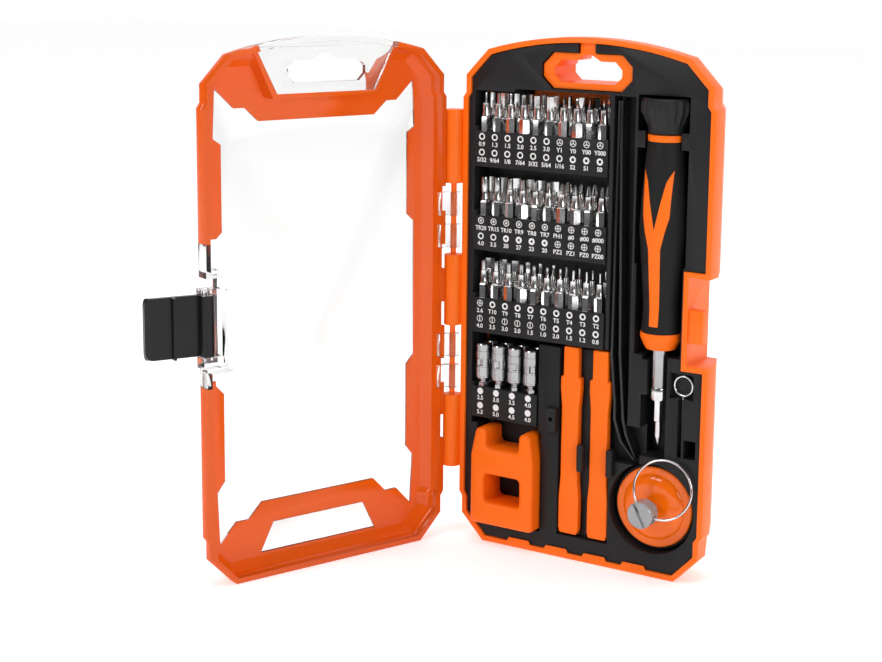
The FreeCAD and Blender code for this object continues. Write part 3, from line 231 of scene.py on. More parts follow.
class Finishes(Enum):
    """Every finish on the set."""

    SHELL = Finish("orange_shell", ORANGE, ORANGE_SHADE, 0.38, specular=0.3, bump=0.06)
    TOOL = Finish("orange_tool", ORANGE, ORANGE_SHADE, 0.42, specular=0.25, bump=0.08)
    DOME = Finish("orange_gloss", ORANGE, ORANGE_SHADE, 0.12, coat=0.5, specular=0.2, bump=0.02)
    LID = Finish("orange_translucent", (1.0, 0.150, 0.003), (0.94, 0.125, 0.002), 0.18,
                 specular=0.3, coat=0.1, transmission=0.35, bump=0.03, pits=900.0)
    CLEAR = Finish("clear_pane", (0.91, 0.91, 0.905), (0.89, 0.89, 0.885), 0.045, spread=0.02,
                   transmission=1.0, ior=1.36, bump=0.012, pits=260.0)
    TRAY = Finish("black_tray", (0.014, 0.014, 0.0155), (0.009, 0.009, 0.010), 0.42,
                  specular=0.26, bump=0.14)
    RACK = Finish("black_rack", (0.013, 0.013, 0.014), (0.009, 0.009, 0.010), 0.40,
                  specular=0.26, bump=0.12)
    LATCH = Finish("black_latch", (0.007, 0.007, 0.0075), (0.004, 0.004, 0.005), 0.30,
                   specular=0.3, bump=0.1)
    RUBBER = Finish("black_rubber", (0.010, 0.010, 0.010), (0.006, 0.006, 0.006), 0.55, specular=0.22,
                    bump=0.22, pits=1800.0)
    BLACKENED = Finish("black_steel", (0.012, 0.012, 0.013), (0.007, 0.007, 0.008), 0.30, specular=0.4,
                       coat=0.1, bump=0.05)
    CHROME = Finish("bit_steel", (0.76, 0.76, 0.75), (0.62, 0.62, 0.62), 0.16, metallic=1.0,
                    bump=0.004, tooled=True)
    SATIN = Finish("turned_steel", (0.46, 0.46, 0.47), (0.34, 0.34, 0.35), 0.22, metallic=1.0,
                   bump=0.01, tooled=True)
    GREY = Finish("grey_knob", (0.36, 0.37, 0.38), (0.28, 0.29, 0.30), 0.20, bump=0.05, coat=0.5)
    PRINT = Finish("white_print", (0.86, 0.86, 0.85), (0.78, 0.78, 0.77), 0.5, bump=0.02)


# ---- workshop
def deselect() -> None:
    """Leave object mode with nothing selected."""
    if bpy.context.object and bpy.context.object.mode != "OBJECT":
        bpy.ops.object.mode_set(mode="OBJECT")
    bpy.ops.object.select_all(action="DESELECT")


def pick(piece: Piece) -> None:
    """Make a piece the only one selected."""
    deselect()
    piece.select_set(True)
    bpy.context.view_layer.objects.active = piece


@contextmanager
def editing(piece: Piece) -> Iterator[None]:
    """Edit mode on a piece, with all of it selected."""
    pick(piece)
    bpy.ops.object.mode_set(mode="EDIT")
    bpy.ops.mesh.select_all(action="SELECT")
    yield
    bpy.ops.object.mode_set(mode="OBJECT")


def named(piece: Piece, name: str) -> Piece:
    """Name a piece and its mesh."""
    piece.name = name
    piece.data.name = name
    return piece


def rotation(degrees: float, axis: str | Vector) -> Matrix:
    """Turn about an axis through the origin."""
    return Matrix.Rotation(math.radians(degrees), 3, axis)


def smoothed(piece: Piece, degrees: float) -> None:
    """Shade a piece smooth, but for edges sharper than an angle."""
    pick(piece)
    bpy.ops.object.shade_smooth_by_angle(angle=math.radians(degrees))


def settle(piece: Piece, name: str, smooth: float = 30.0) -> Piece:
    """Name a piece, point its faces outwards and smooth it up to an angle.

    Args:
        piece: the new piece.
        name: what it is called.
        smooth: edges sharper than this many degrees stay sharp.

    Returns:
        The piece.
    """
    named(piece, name)
    with editing(piece):
        bpy.ops.mesh.remove_doubles(threshold=WELD * MM)
        bpy.ops.mesh.normals_make_consistent(inside=False)
    bpy.ops.object.transform_apply()
    smoothed(piece, smooth)
    return piece


def bevel(piece: Piece, width: float, segments: int = 2,
          angle: float = 25.0) -> Piece:
    """Round a piece's edges with an applied bevel.

    Args:
        piece: the piece.
        width: width of the rounding, in millimetres.
        segments: faces across it.
        angle: edges flatter than this many degrees are left.

    Returns:
        The piece.
    """
    pick(piece)
    modifier = piece.modifiers.new("rounding", "BEVEL")
    modifier.width = width * MM
    modifier.segments = segments
    modifier.limit_method = "ANGLE"
    modifier.angle_limit = math.radians(angle)
    bpy.ops.object.modifier_apply(modifier=modifier.name)
    return piece


def select_verts(piece: Piece, test: Callable[[Vector], bool]) -> None:
    """In edit mode, select just the vertices whose places pass a test."""
    bpy.ops.mesh.select_mode(type="VERT")
    bpy.ops.mesh.select_all(action="DESELECT")
    bpy.ops.object.mode_set(mode="OBJECT")
    for vertex in piece.data.vertices:
        vertex.select = test(vertex.co)
    bpy.ops.object.mode_set(mode="EDIT")


def resize(across: float, deep: float, middle: Sequence[float] = (0, 0, 0)) -> None:
    """In edit mode, resize what is selected along X and Y about a middle."""
    bpy.ops.transform.resize(value=(across, deep, 1), center_override=middle)


def drawn(name: str, sides: int, stations: Profile, turn: float = 0.0) -> Piece:
    """Solid drawn up from a regular outline, resized at each station, about the Z axis.

    Args:
        name: what it is called.
        sides: sides of the outline.
        stations: corner radius and height at each station, in millimetres, from the bottom up.
        turn: turn of the outline about the axis, in degrees.

    Returns:
        The closed solid, standing on the origin's axis.
    """
    deselect()
    radius, height = stations[0]
    bpy.ops.mesh.primitive_circle_add(vertices=sides, radius=radius * MM, fill_type="NGON",
                                      location=(0, 0, height * MM), rotation=(0, 0, math.radians(turn)))
    piece = bpy.context.object
    bpy.ops.object.transform_apply()
    with editing(piece):
        for next_radius, next_height in stations[1:]:
            bpy.ops.mesh.extrude_region_move(
                TRANSFORM_OT_translate={"value": (0, 0, (next_height - height) * MM)})
            scale = next_radius / radius
            if abs(scale - 1) > SAME_SIZE:
                resize(scale, scale, (0, 0, next_height * MM))
            radius, height = next_radius, next_height
    return settle(piece, name)


def place(piece: Piece, spot: Vector, turn: Matrix | None = None) -> Piece:
    """Turn a piece about the origin, move it to its spot and put both in its mesh."""
    matrix = Matrix.Translation(spot) @ (turn.to_4x4() if turn else Matrix.Identity(4))
    piece.data.transform(matrix)
    return piece


def copy_of(piece: Piece, name: str) -> Piece:
    """Copy of a piece with its own mesh."""
    twin = piece.copy()
    twin.data = piece.data.copy()
    twin.name = name
    bpy.context.scene.collection.objects.link(twin)
    return twin


def joined(pieces: Sequence[Piece], name: str) -> Piece:
    """One object made of several finished pieces."""
    deselect()
    for piece in pieces:
        piece.select_set(True)
    bpy.context.view_layer.objects.active = pieces[0]
    if len(pieces) > 1:
        bpy.ops.object.join()
    return named(bpy.context.object, name)


def finished(piece: Piece, finish: Finishes, body: str, slot: str,
             *nodes: str) -> Piece:
    """Dress a piece, set it on its body and let it stand for its CAD nodes.

    Args:
        piece: the piece.
        finish: its finish.
        body: the body it moves with.
        slot: the record's material slot; not used.
        nodes: the CAD nodes that it replaces.

    Returns:
        The piece.
    """
    piece.data.materials.clear()
    piece.data.materials.append(finish.value.material())
    for face in piece.data.polygons:
        face.material_index = 0
    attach(piece, body)
    if nodes:
        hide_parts(*nodes)
    LOG.info("%s on %s: %d faces", piece.name, body, len(piece.data.polygons))
    return piece


def eased(node: str, name: str, width: float, segments: int = 2) -> Piece:
    """Copy of a CAD node with its triangles merged into faces and its edges rounded.

    Args:
        node: the CAD node.
        name: what the copy is called.
        width: width of the rounding, in millimetres.
        segments: faces across the rounding.

    Returns:
        The new piece.
    """
    piece = named(copy_of(bpy.data.objects[node], name), name)
    piece.parent = None
    for key in list(piece.keys()):
        del piece[key]
    with editing(piece):
        bpy.ops.mesh.remove_doubles(threshold=CAD_WELD * MM)
        bpy.ops.mesh.dissolve_limited(angle_limit=math.radians(CAD_FLAT))
    if width:
        bevel(piece, width, segments)
    smoothed(piece, CAD_SHARP)
    return piece


def cuboid(name: str, low: Vector, high: Vector) -> Piece:
    """Box between two corners, in metres."""
    deselect()
    bpy.ops.mesh.primitive_cube_add(size=1, location=(low + high) / 2)
    box = bpy.context.object
    box.name = name
    box.scale = high - low
    bpy.ops.object.transform_apply()
    return box


def cut_from(piece: Piece, cutter: Piece) -> None:
    """Take one piece out of another and throw the cutter away."""
    pick(piece)
    modifier = piece.modifiers.new("opening", "BOOLEAN")
    modifier.operation = "DIFFERENCE"
    modifier.solver = "EXACT"
    modifier.object = cutter
    bpy.ops.object.modifier_apply(modifier=modifier.name)
    bpy.data.objects.remove(cutter)


def softened(node: str, name: str, width: float, finish: Finishes, body: str, slot: str) -> None:
    """Finished copy of a CAD node with its edges rounded, standing for that node."""
    finished(eased(node, name, width), finish, body, slot, node)


# ---- the case
@dataclass
class Case:
    """The two halves of the case, the hinge between them and the latch."""

    edge: float = 0.45
    soft_edge: float = 0.6
    grip_corner: float = 3.6
    pane_edge: float = 0.3
    pin_edge: float = 0.2
    opened: float = 111.0
    hinge: Triple = (-64.4, -4.0, 0.0)
    rim_gap: float = 0.05
    rim_within: float = 0.02
    grip_within: float = 0.5
    level_within: float = 0.01

    def base(self) -> None:
        """Orange base shell, and the black tray with every well."""
        softened("base_shell", "base_case", self.edge, Finishes.SHELL, "base", "orange_shell")
        softened("tray_insert", "tool_tray", self.edge, Finishes.TRAY, "base", "black_plastic")

    def shave(self, piece: Piece) -> None:
        """Set a lid piece's mating rim back a hair, so that it shuts without touching the base."""
        into_lid = rotation(-self.opened, "Z") @ Vector((0, -1, 0))
        hinge = Vector(self.hinge) * MM
        for vertex in piece.data.vertices:
            if abs((vertex.co - hinge).dot(into_lid)) < self.rim_within * MM:
                vertex.co += into_lid * self.rim_gap * MM

    def lid(self) -> None:
        """Orange lid frame with its clear panes, and the latch's pin."""
        frame = eased("lid_frame", "lid_surround", self.edge)
        self.shave(frame)
        finished(frame, Finishes.LID, "lid", "orange_translucent", "lid_frame")
        panes = eased("lid_panel", "lid_panes", self.pane_edge)
        self.shave(panes)
        finished(panes, Finishes.CLEAR, "lid", "clear_plastic", "lid_panel")
        softened("latch_pin", "latch_axle", self.pin_edge, Finishes.SATIN, "lid", "satin_steel")

    def latch(self) -> None:
        """Black latch, swung out, with the corners of its grip rounded."""
        piece = eased("latch", "side_latch", 0.0)
        low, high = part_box("latch_pin")
        axle = (low + high) / 2

        def reach(co: Vector) -> float:
            """Distance from the latch's axle."""
            return (co.xy - axle.xy).length

        far = max(reach(vertex.co) for vertex in piece.data.vertices)
        with editing(piece):
            bpy.ops.mesh.select_mode(type="EDGE")
            bpy.ops.mesh.select_all(action="DESELECT")
        corners = piece.data.vertices
        for edge in piece.data.edges:
            one, other = (corners[index].co for index in edge.vertices)
            level = abs(one.z - other.z) < self.level_within * MM
            edge.select = level and min(reach(one), reach(other)) > far - self.grip_within * MM
        bpy.ops.object.mode_set(mode="EDIT")
        bpy.ops.mesh.bevel(offset=self.grip_corner * MM, segments=6, affect="EDGES")
        bpy.ops.object.mode_set(mode="OBJECT")
        bevel(piece, self.soft_edge, 3)
        smoothed(piece, 30)
        finished(piece, Finishes.LATCH, "latch", "black_plastic", "latch")

    def build(self) -> None:
        """Build the whole case."""
        self.base()
        self.lid()
        self.latch()


# ---- racks and what they hold
class Tip(Enum):
    """Shape of a bit's working tip: lobes round it, and how deep the valleys between them go."""

    HEX = (6, 1.0)
    SQUARE = (4, 1.0)
    TRIANGLE = (3, 1.0)
    STAR = (6, 0.78)
    FIVE_POINT = (5, 0.62)
    WING = (3, 0.38)
    CROSS = (4, 0.42)
    SLOT = (4, 0.0)


@dataclass
class BitBlank:
    """Hexagonal shank and round neck, the same on every bit."""

    across: float = 4.0
    shank: float = 17.5
    length: float = 28.0
    tip: float = 4.6
    neck: float = 1.55
    collar: float = 1.18
    round_sides: int = 20
    overlap: float = 0.6
    blade_corner: float = 1.41

    def build(self) -> Piece:
        """Blank without its tip, standing on the origin.

        Returns:
            The joined shank and neck.
        """
        corner = self.across / math.sqrt(3)
        shank = drawn("shank", 6, [
            (corner * 0.84, 0.0), (corner, 0.45), (corner, self.shank - 0.5),
            (corner * 0.86, self.shank), (self.neck * 1.02, self.shank + 0.4)], turn=30)
        collar = self.neck * self.collar
        neck = drawn("neck", self.round_sides, [
            (collar, self.shank - 0.2), (collar, self.shank + 1.2),
            (self.neck, self.shank + 1.9), (self.neck, self.length - self.tip)])
        return joined([shank, neck], "blank")

    def working_tip(self, kind: Tip, size: float) -> Piece:
        """Tip of one kind and size, standing on the blank's end.

        Args:
            kind: the tip's shape.
            size: its nominal size across, in millimetres.

        Returns:
            The tip.
        """
        low, high = self.length - self.tip - self.overlap, self.length
        lobes, valley = kind.value
        reach = min(size, self.across) / 2
        if kind is Tip.SLOT:
            return self.blade(reach, low, high)
        if kind in (Tip.HEX, Tip.SQUARE, Tip.TRIANGLE):
            corner = min(reach / math.cos(math.pi / lobes), self.across / 2) * 0.98
            start = max(self.neck, corner * 0.9)
            return drawn("tip", lobes, [
                (start, low - 1.6), (corner, low - 0.2), (corner, high - 0.25), (corner * 0.85, high)])
        end = 0.25 if kind in (Tip.CROSS, Tip.WING) else 0.84
        tip = drawn("tip", lobes * 2, [
            (self.neck * 1.02, low - 1.2), (max(reach, self.neck * 0.9), low), (reach * 0.98, low + 1.2),
            (reach * (0.62 if end < 0.5 else 0.97), high - 1.0), (reach * end, high)])
        step = math.pi / lobes
        with editing(tip):
            select_verts(tip, lambda co: co.z > (low - self.overlap) * MM
                         and co.xy.length > 1e-7 and round(math.atan2(co.y, co.x) / step) % 2 == 1)
            resize(valley, valley)
        return tip

    def blade(self, reach: float, low: float, high: float) -> Piece:
        """Flat blade that widens from the neck and thins towards its edge."""
        blade = drawn("tip", 4, [
            (self.neck * 0.95, low - 3.0), (self.neck * 1.1, low - 1.0),
            (reach * self.blade_corner, low + 1.6), (reach * self.blade_corner, high)], turn=45)
        with editing(blade):
            for height, thin in ((low - 0.4, 0.55), (low + 1.0, 0.5), (high - 0.5, 0.55)):
                select_verts(blade, lambda co, limit=height: co.z > limit * MM)
                resize(1, thin)
        return blade


@dataclass
class Rack:
    """One tilting rack: its block, the print on its face and the bits standing in it."""

    number: int
    groups: Sequence[tuple[str, Tip, int, str, Sequence[float]]]
    labels: tuple[Sequence[tuple["Sign", str]], Sequence[tuple["Sign", str]]]
    pitch: float = 6.45
    front_row: float = 3.4
    back_row: float = 8.8
    seat: float = 4.3
    set_back: float = 0.3
    edge: float = 0.35
    tall: float = 15.6
    sign_drops: Pair = (2.4, 9.3)
    text_drops: Pair = (5.75, 12.65)
    first_turn: float = 8.0
    turn_step: float = 13.0
    turn_cycle: int = 4

    @property
    def node(self) -> str:
        """CAD node of the rack."""
        return f"rack_{self.number}"

    def corner(self) -> tuple[Vector, Vector]:
        """Lowest and highest corners of the rack."""
        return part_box(self.node)

    def column(self, index: int) -> float:
        """Across position of a column of the rack, in metres."""
        low, high = self.corner()
        middle = (low.x + high.x) / 2
        count = len(self.labels[0])
        return middle + (index - (count - 1) / 2) * self.pitch * MM

    def build(self, blank: Piece, shop: BitBlank) -> None:
        """Build the rack and all that it holds.

        Args:
            blank: the blank that every bit is copied from.
            shop: the sizes of the blank, and how its tips are made.
        """
        softened(self.node, f"{self.node}_block", self.edge, Finishes.RACK, self.node, "rack_plastic")
        self.print_face()
        low = self.corner()[0]
        for node, kind, first, row, sizes in self.groups:
            depth = self.front_row if row == "front" else self.back_row
            bits = []
            for step, size in enumerate(sizes):
                bit = joined([copy_of(blank, "bit"), shop.working_tip(kind, size)], "bit")
                degrees = self.first_turn + self.turn_step * ((first + step) % self.turn_cycle)
                spot = Vector((self.column(first + step), low.y + (depth - self.set_back) * MM,
                               low.z + self.seat * MM))
                bits.append(place(bit, spot, rotation(degrees, "Z")))
            group = joined(bits, f"{node}_set")
            finished(group, Finishes.CHROME, self.node, "bit_steel", node)

    def print_face(self) -> None:
        """White sizes and signs printed on the rack's face."""
        low = self.corner()[0]
        top = low.z + self.tall * MM
        marks = []
        for row, sign_drop, text_drop in zip(self.labels, self.sign_drops, self.text_drops):
            for index, (sign, words) in enumerate(row):
                spot = Vector((self.column(index), low.y, top))
                marks += printed(sign, words, spot, sign_drop, text_drop)
        finished(joined(marks, f"{self.node}_print"), Finishes.PRINT, self.node, "rack_plastic")


FACE_FORWARD = rotation(90, "X")
PRINT_DEPTH = 0.06
LETTER_TALL = 2.65
LETTER_ROOM = 5.5
LETTER_SPREAD = 0.05
LETTER_CURVE = 3
SIGN_RADIUS = 1.5
DISC_SIDES = 20
RIM_SIDES = 24
BAR_WIDE = 0.34
FULL_BAR = 0.98
SHORT_BAR = 0.45


def lettering(words: str, spot: Vector) -> Piece:
    """Size lettering that stands a hair proud of a rack's face.

    Args:
        words: what it reads.
        spot: middle of the lettering, on the face.

    Returns:
        The lettering as a mesh.
    """
    deselect()
    bpy.ops.object.text_add(location=(0, 0, 0))
    text = bpy.context.object
    text.data.body = words
    text.data.size = LETTER_TALL * MM
    text.data.align_x = "CENTER"
    text.data.align_y = "CENTER"
    text.data.extrude = PRINT_DEPTH * MM / 2
    text.data.offset = LETTER_SPREAD * MM
    text.data.resolution_u = LETTER_CURVE
    bpy.ops.object.convert(target="MESH")
    mark = settle(bpy.context.object, "lettering")
    squeeze = min(1.0, LETTER_ROOM * MM / mark.dimensions.x)
    mark.data.transform(Matrix.Diagonal((squeeze, 1.0, 1.0)).to_4x4())
    return place(mark, spot, FACE_FORWARD)


class Sign(Enum):
    """Printed sign for a tip: the sides of the window in its disc, and the bars drawn across."""

    HEX = (6, 0.66, 0)
    SQUARE = (4, 0.6, 0)
    TRIANGLE = (3, 0.62, 0)
    RING_STAR = (6, 0.82, 6)
    RING_CROSS = (20, 0.8, 4)
    RING_WING = (20, 0.8, 3)
    RING_SLOT = (20, 0.8, 2)
    RING_POINTS = (5, 0.6, 0)
    DISC = (0, 0.0, 0)

    def build(self, spot: Vector) -> Piece:
        """Build the sign on a rack's face.

        Args:
            spot: middle of the sign, on the face.

        Returns:
            The sign as a mesh.
        """
        sides, window, bars = self.value
        if sides:
            parts = [self.rim(SIGN_RADIUS, window, sides)]
        else:
            parts = [drawn("sign", DISC_SIDES, [(SIGN_RADIUS, 0.0), (SIGN_RADIUS, PRINT_DEPTH / 2)])]
        share = SHORT_BAR if self is Sign.RING_STAR else FULL_BAR
        for index in range(bars):
            parts.append(self.bar(SIGN_RADIUS * share, 360 / bars * index))
        sign = joined(parts, "sign")
        return place(sign, spot, FACE_FORWARD)

    @staticmethod
    def rim(radius: float, window: float, sides: int) -> Piece:
        """Disc with a window of some sides through it.

        Args:
            radius: the disc's radius, in millimetres.
            window: the window's share of that radius.
            sides: the window's sides.

        Returns:
            The pierced disc.
        """
        disc = drawn("rim", RIM_SIDES, [(radius, 0.0), (radius, PRINT_DEPTH / 2)])
        turn = 45 if sides == 4 else 90
        cutter = drawn("window", sides, [(radius * window, -1.0), (radius * window, 1.0)], turn=turn)
        cut_from(disc, cutter)
        return disc

    @staticmethod
    def bar(reach: float, turn: float) -> Piece:
        """Bar from the middle of a sign towards its rim."""
        deselect()
        bpy.ops.mesh.primitive_cube_add(size=1, location=(0, reach / 2 * MM, PRINT_DEPTH / 4 * MM))
        arm = bpy.context.object
        arm.scale = (BAR_WIDE * MM, reach * MM, PRINT_DEPTH / 2 * MM)
        bpy.ops.object.transform_apply()
        return place(arm, Vector(), rotation(turn, "Z"))


def printed(sign: Sign, words: str, spot: Vector, sign_drop: float, text_drop: float) -> list[Piece]:
    """One sign and its size, each some millimetres below a spot on the face."""
    return [sign.build(spot - Vector((0, 0, sign_drop * MM))),
            lettering(words, spot - Vector((0, 0, text_drop * MM)))]


@dataclass
class NutDrivers:
    """Knurled nut drivers in the lowest rack, and that rack's block and print."""

    front_sizes: Sequence[float] = (2.5, 3.0, 3.5, 4.0)
    back_sizes: Sequence[float] = (5.5, 5.0, 4.5, 4.0)
    pitch: float = 8.2
    radius: float = 3.65
    base: float = 17.6
    length: float = 16.0
    seat: float = 4.3
    steps: int = 32
    core_share: float = 0.925
    bands: Sequence[tuple[float, int]] = ((1.4, 9), (9.6, 7))
    knurl_rise: float = 0.5
    plain_rings: Sequence[float] = (6.0, 6.3, 8.8, 9.1)
    flat_band: Pair = (6.2, 8.9)
    flat_depth: float = 0.8
    bore_deep: float = 5.0
    least_bore: float = 1.25
    shank_across: float = 4.0
    depths: Pair = (2.7, 10.4)
    edge: float = 0.35
    print_top: float = 14.0
    line_drop: float = 6.6
    sign_drop: float = 2.0
    text_drop: float = 5.1
    turn_step: float = 11.0

    def driver(self, size: float) -> Piece:
        """One nut driver standing on the origin.

        Args:
            size: across flats of its socket, in millimetres.

        Returns:
            The nut driver.
        """
        low = self.base - self.seat
        high = low + self.length
        core = self.radius * self.core_share
        rows = [(core * 0.62, low - 0.3), (core * 0.9, low), (core, low + 0.5), (core, low + 1.3)]
        knurls = []
        for offset, count in self.bands:
            start = low + offset
            rows += [(core * 0.985, start - 0.1)]
            heights = [start + self.knurl_rise * index for index in range(count)]
            knurls += heights
            rows += [(core, height) for height in heights]
            rows += [(core * 0.985, heights[-1] + 0.1)]
            if len(knurls) == count:
                rows += [(core * 0.99, low + height) for height in self.plain_rings]
        rows += [(core, high - 1.7), (core, high - 0.5), (core * 0.93, high)]
        bore = max(size / 2, self.least_bore) / math.cos(math.pi / 6)
        rows += [(bore, high), (bore, high - self.bore_deep)]
        body = drawn("nut_body", self.steps, rows)
        step = 2 * math.pi / self.steps
        heights = {round(height / 0.01): index for index, height in enumerate(knurls)}

        def crest(co: Vector) -> bool:
            """Whether a place is a crest of the knurl."""
            index = heights.get(round(co.z / MM / 0.01))
            outer = co.xy.length > core * 0.99 * MM
            if not outer or index is None:
                return False
            return (index + round(math.atan2(co.y, co.x) / step)) % 2 == 0

        def flat(co: Vector) -> bool:
            """Whether a place is on one of the four flats of the plain band."""
            quarter = math.atan2(co.y, co.x) / (math.pi / 2)
            middle_band = low + self.flat_band[0] < co.z / MM < low + self.flat_band[1]
            return middle_band and abs(quarter - round(quarter)) < 0.2

        with editing(body):
            select_verts(body, crest)
            resize(self.radius / core, self.radius / core)
            select_verts(body, flat)
            resize(self.flat_depth, self.flat_depth)
        smoothed(body, 12)
        corner = self.shank_across / math.sqrt(3)
        shank = drawn("nut_shank", 6, [(corner * 0.85, 0.0), (corner, 0.4), (corner, low - 1.9),
                                       (corner * 0.8, low - 1.5)], turn=30)
        neck = drawn("nut_neck", 20, [
            (1.8, low - 2.2), (1.8, low - 1.2), (1.5, low - 1.0), (1.5, low - 0.6),
            (2.2, low - 0.4), (2.2, low + 0.1)])
        return joined([body, shank, neck], "nut_driver")

    def build(self) -> None:
        """Build the rack, its print and both rows of nut drivers."""
        softened("rack_4", "rack_4_block", self.edge, Finishes.RACK, "rack_4", "rack_plastic")
        low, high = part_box("rack_4")
        middle = (low.x + high.x) / 2
        marks = []
        for row, (side, sizes) in enumerate((("front", self.front_sizes), ("back", self.back_sizes))):
            drivers = []
            for index, size in enumerate(sizes):
                across = middle + (index - 1.5) * self.pitch * MM
                spot = Vector((across, low.y + self.depths[row] * MM, low.z + self.seat * MM))
                drivers.append(place(self.driver(size), spot, rotation(self.turn_step * index, "Z")))
                top = low.z + (self.print_top - self.line_drop * row) * MM
                marks += printed(Sign.DISC, f"{size:.1f}", Vector((across, low.y, top)),
                                 self.sign_drop, self.text_drop)
            group = joined(drivers, f"nut_drivers_{side}")
            finished(group, Finishes.SATIN, "rack_4", "satin_steel", f"sockets_{side}")
        finished(joined(marks, "rack_4_print"), Finishes.PRINT, "rack_4", "rack_plastic")


# ---- hand tools
@dataclass
class PrecisionDriver:
    """The driver: orange core and inlay, rubber grip, fluted spinning cap and bit holder."""

    flutes: int = 22
    flute_depth: float = 0.955
    flute_steps: int = 4
    fluted: Pair = (0.3, 0.9)
    foot: Profile = ((1.6, 0.0), (7.5, 0.0), (7.9, 0.4))
    waist: Profile = ((7.9, 0.14), (8.2, 0.2))
    flare: Profile = ((0.86, 0.42), (0.97, 0.58), (1.0, 0.68))
    crown: Profile = ((1.0, 1.9), (0.965, 0.7), (0.90, 0.0), (0.74, 0.0), (0.70, 0.5), (0.2, 0.5))

    def cap(self) -> None:
        """Spinning cap, flared and fluted, with a dished top.

        The foot is in millimetres, and the waist in millimetres and shares of the height. The flare
        is in shares of the radius and the height, the crown in shares and drops from the top.
        """
        low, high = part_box("driver_cap")
        middle = (low + high) / 2
        radius = (high.x - low.x) / 2 / MM
        base, top = low.z / MM, high.z / MM
        rise = top - base
        segments = self.flutes * self.flute_steps
        cap = drawn("driver_cap_turned", segments, [
            *((wide, base + up) for wide, up in self.foot),
            *((wide, base + rise * share) for wide, share in self.waist),
            *((radius * wide, base + rise * share) for wide, share in self.flare),
            *((radius * wide, top - drop) for wide, drop in self.crown)])
        step = 2 * math.pi / segments
        floor, ceiling = (base + rise * self.fluted[0]) * MM, (top - self.fluted[1]) * MM
        with editing(cap):
            select_verts(cap, lambda co: floor < co.z < ceiling
                         and round(math.atan2(co.y, co.x) / step) % self.flute_steps != 0)
            resize(self.flute_depth, self.flute_depth)
        smoothed(cap, 35)
        place(cap, Vector((middle.x, middle.y, 0)))
        finished(cap, Finishes.TRAY, "driver_cap", "black_plastic", "driver_cap")

    def build(self) -> None:
        """Build the whole driver."""
        self.cap()
        for node, name, width, finish, slot in (
                ("driver_core", "driver_orange_core", 0.4, Finishes.TOOL, "orange_tool"),
                ("driver_inlay", "driver_orange_inlay", 0.25, Finishes.TOOL, "orange_tool"),
                ("driver_grip", "driver_rubber_grip", 0.25, Finishes.RUBBER, "black_rubber"),
                ("driver_cap_pin", "driver_cap_axle", 0.1, Finishes.SATIN, "satin_steel"),
                ("driver_shaft", "driver_holder", 0.3, Finishes.SATIN, "satin_steel"),
                ("driver_ferrule", "driver_collar", 0.5, Finishes.CHROME, "bit_steel"),
                ("driver_magnet", "driver_holder_magnet", 0.2, Finishes.SATIN, "magnet_nickel"),
                ("driver_bit", "driver_fitted_bit", 0.15, Finishes.CHROME, "bit_steel")):
            softened(node, name, width, finish, "driver", slot)


@dataclass
class Magnetizer:
    """Soft-cornered block with a window through it and an open notch between two prongs."""

    rounding: float = 2.1
    notch: Pair = (16.6, 8.6)
    window: Pair = (18.2, 13.0)
    window_base: float = 10.4
    shoulder: float = 12.5
    waist: Pair = (0.86, 0.92)
    opening_corner: float = 2.0
    reach_past: float = 30.0
    open_above: float = 5.0

    def build(self) -> None:
        """Build the block."""
        low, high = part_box("magnetizer_body")
        middle = (low + high) / 2
        piece = cuboid("magnetizer_block", low, high)
        with editing(piece):
            shoulder = (middle.x, middle.y, high.z - self.shoulder * MM)
            bpy.ops.mesh.bisect(plane_co=shoulder, plane_no=(0, 0, 1))
            select_verts(piece, lambda co: co.z > high.z - 1 * MM)
            resize(*self.waist, middle)
        through = Vector((0, self.reach_past * MM, 0))
        for wide, floor_z, top_z in (
                (self.notch[0], high.z - self.notch[1] * MM, high.z + self.open_above * MM),
                (self.window[0], low.z + self.window_base * MM,
                 low.z + (self.window_base + self.window[1]) * MM)):
            half = Vector((wide / 2 * MM, 0, 0))
            near = Vector((middle.x, middle.y, floor_z)) - half - through
            far = Vector((middle.x, middle.y, top_z)) + half + through
            cutter = cuboid("opening", near, far)
            bevel(cutter, self.opening_corner, 4)
            cut_from(piece, cutter)
        bevel(piece, self.rounding, 4, 40)
        settle(piece, "magnetizer_block", 40)
        finished(piece, Finishes.TOOL, "magnetizer", "orange_tool", "magnetizer_body")


@dataclass
class TrayClips:
    """Spring clips of the tray beside the pry tools, and the drilled lug by the nut drivers."""

    tall: float = 12.3
    wide: float = 3.0
    out: float = 3.4
    level: float = 41.0
    rooted: float = 0.6
    tool_gap: float = 0.4
    lug_gap: float = 0.6
    lug_wide: float = 5.2
    lug_levels: Pair = (56.4, 67.6)
    hole: Pair = (2.2, 62.6)
    hole_radius: float = 1.0
    hole_reach: float = 30.0

    def build(self) -> None:
        """Build the clips as one piece on the tray."""
        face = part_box("tray_insert")[0].y
        front, root = face - self.out * MM, face + self.rooted * MM
        pieces = []
        for number in (1, 2):
            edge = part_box(f"pry_tool_{number}")[1].x + self.tool_gap * MM
            low = Vector((edge, front, self.level * MM))
            high = Vector((edge + self.wide * MM, root, (self.level + self.tall) * MM))
            clip = cuboid("clip", low, high)
            bevel(clip, 0.9, 3)
            pieces.append(clip)
        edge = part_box("pry_tool_1")[0].x - self.lug_gap * MM
        lug = cuboid("lug", Vector((edge - self.lug_wide * MM, front, self.lug_levels[0] * MM)),
                     Vector((edge, root, self.lug_levels[1] * MM)))
        bevel(lug, 1.2, 3)
        hole = drawn("hole", 24, [
            (self.hole_radius, -self.hole_reach), (self.hole_radius, self.hole_reach)])
        place(hole, Vector((edge - self.hole[0] * MM, face, self.hole[1] * MM)), FACE_FORWARD)
        cut_from(lug, hole)
        pieces.append(lug)
        clips = settle(joined(pieces, "tray_clips"), "tray_clips", 35)
        finished(clips, Finishes.TRAY, "base", "black_plastic")


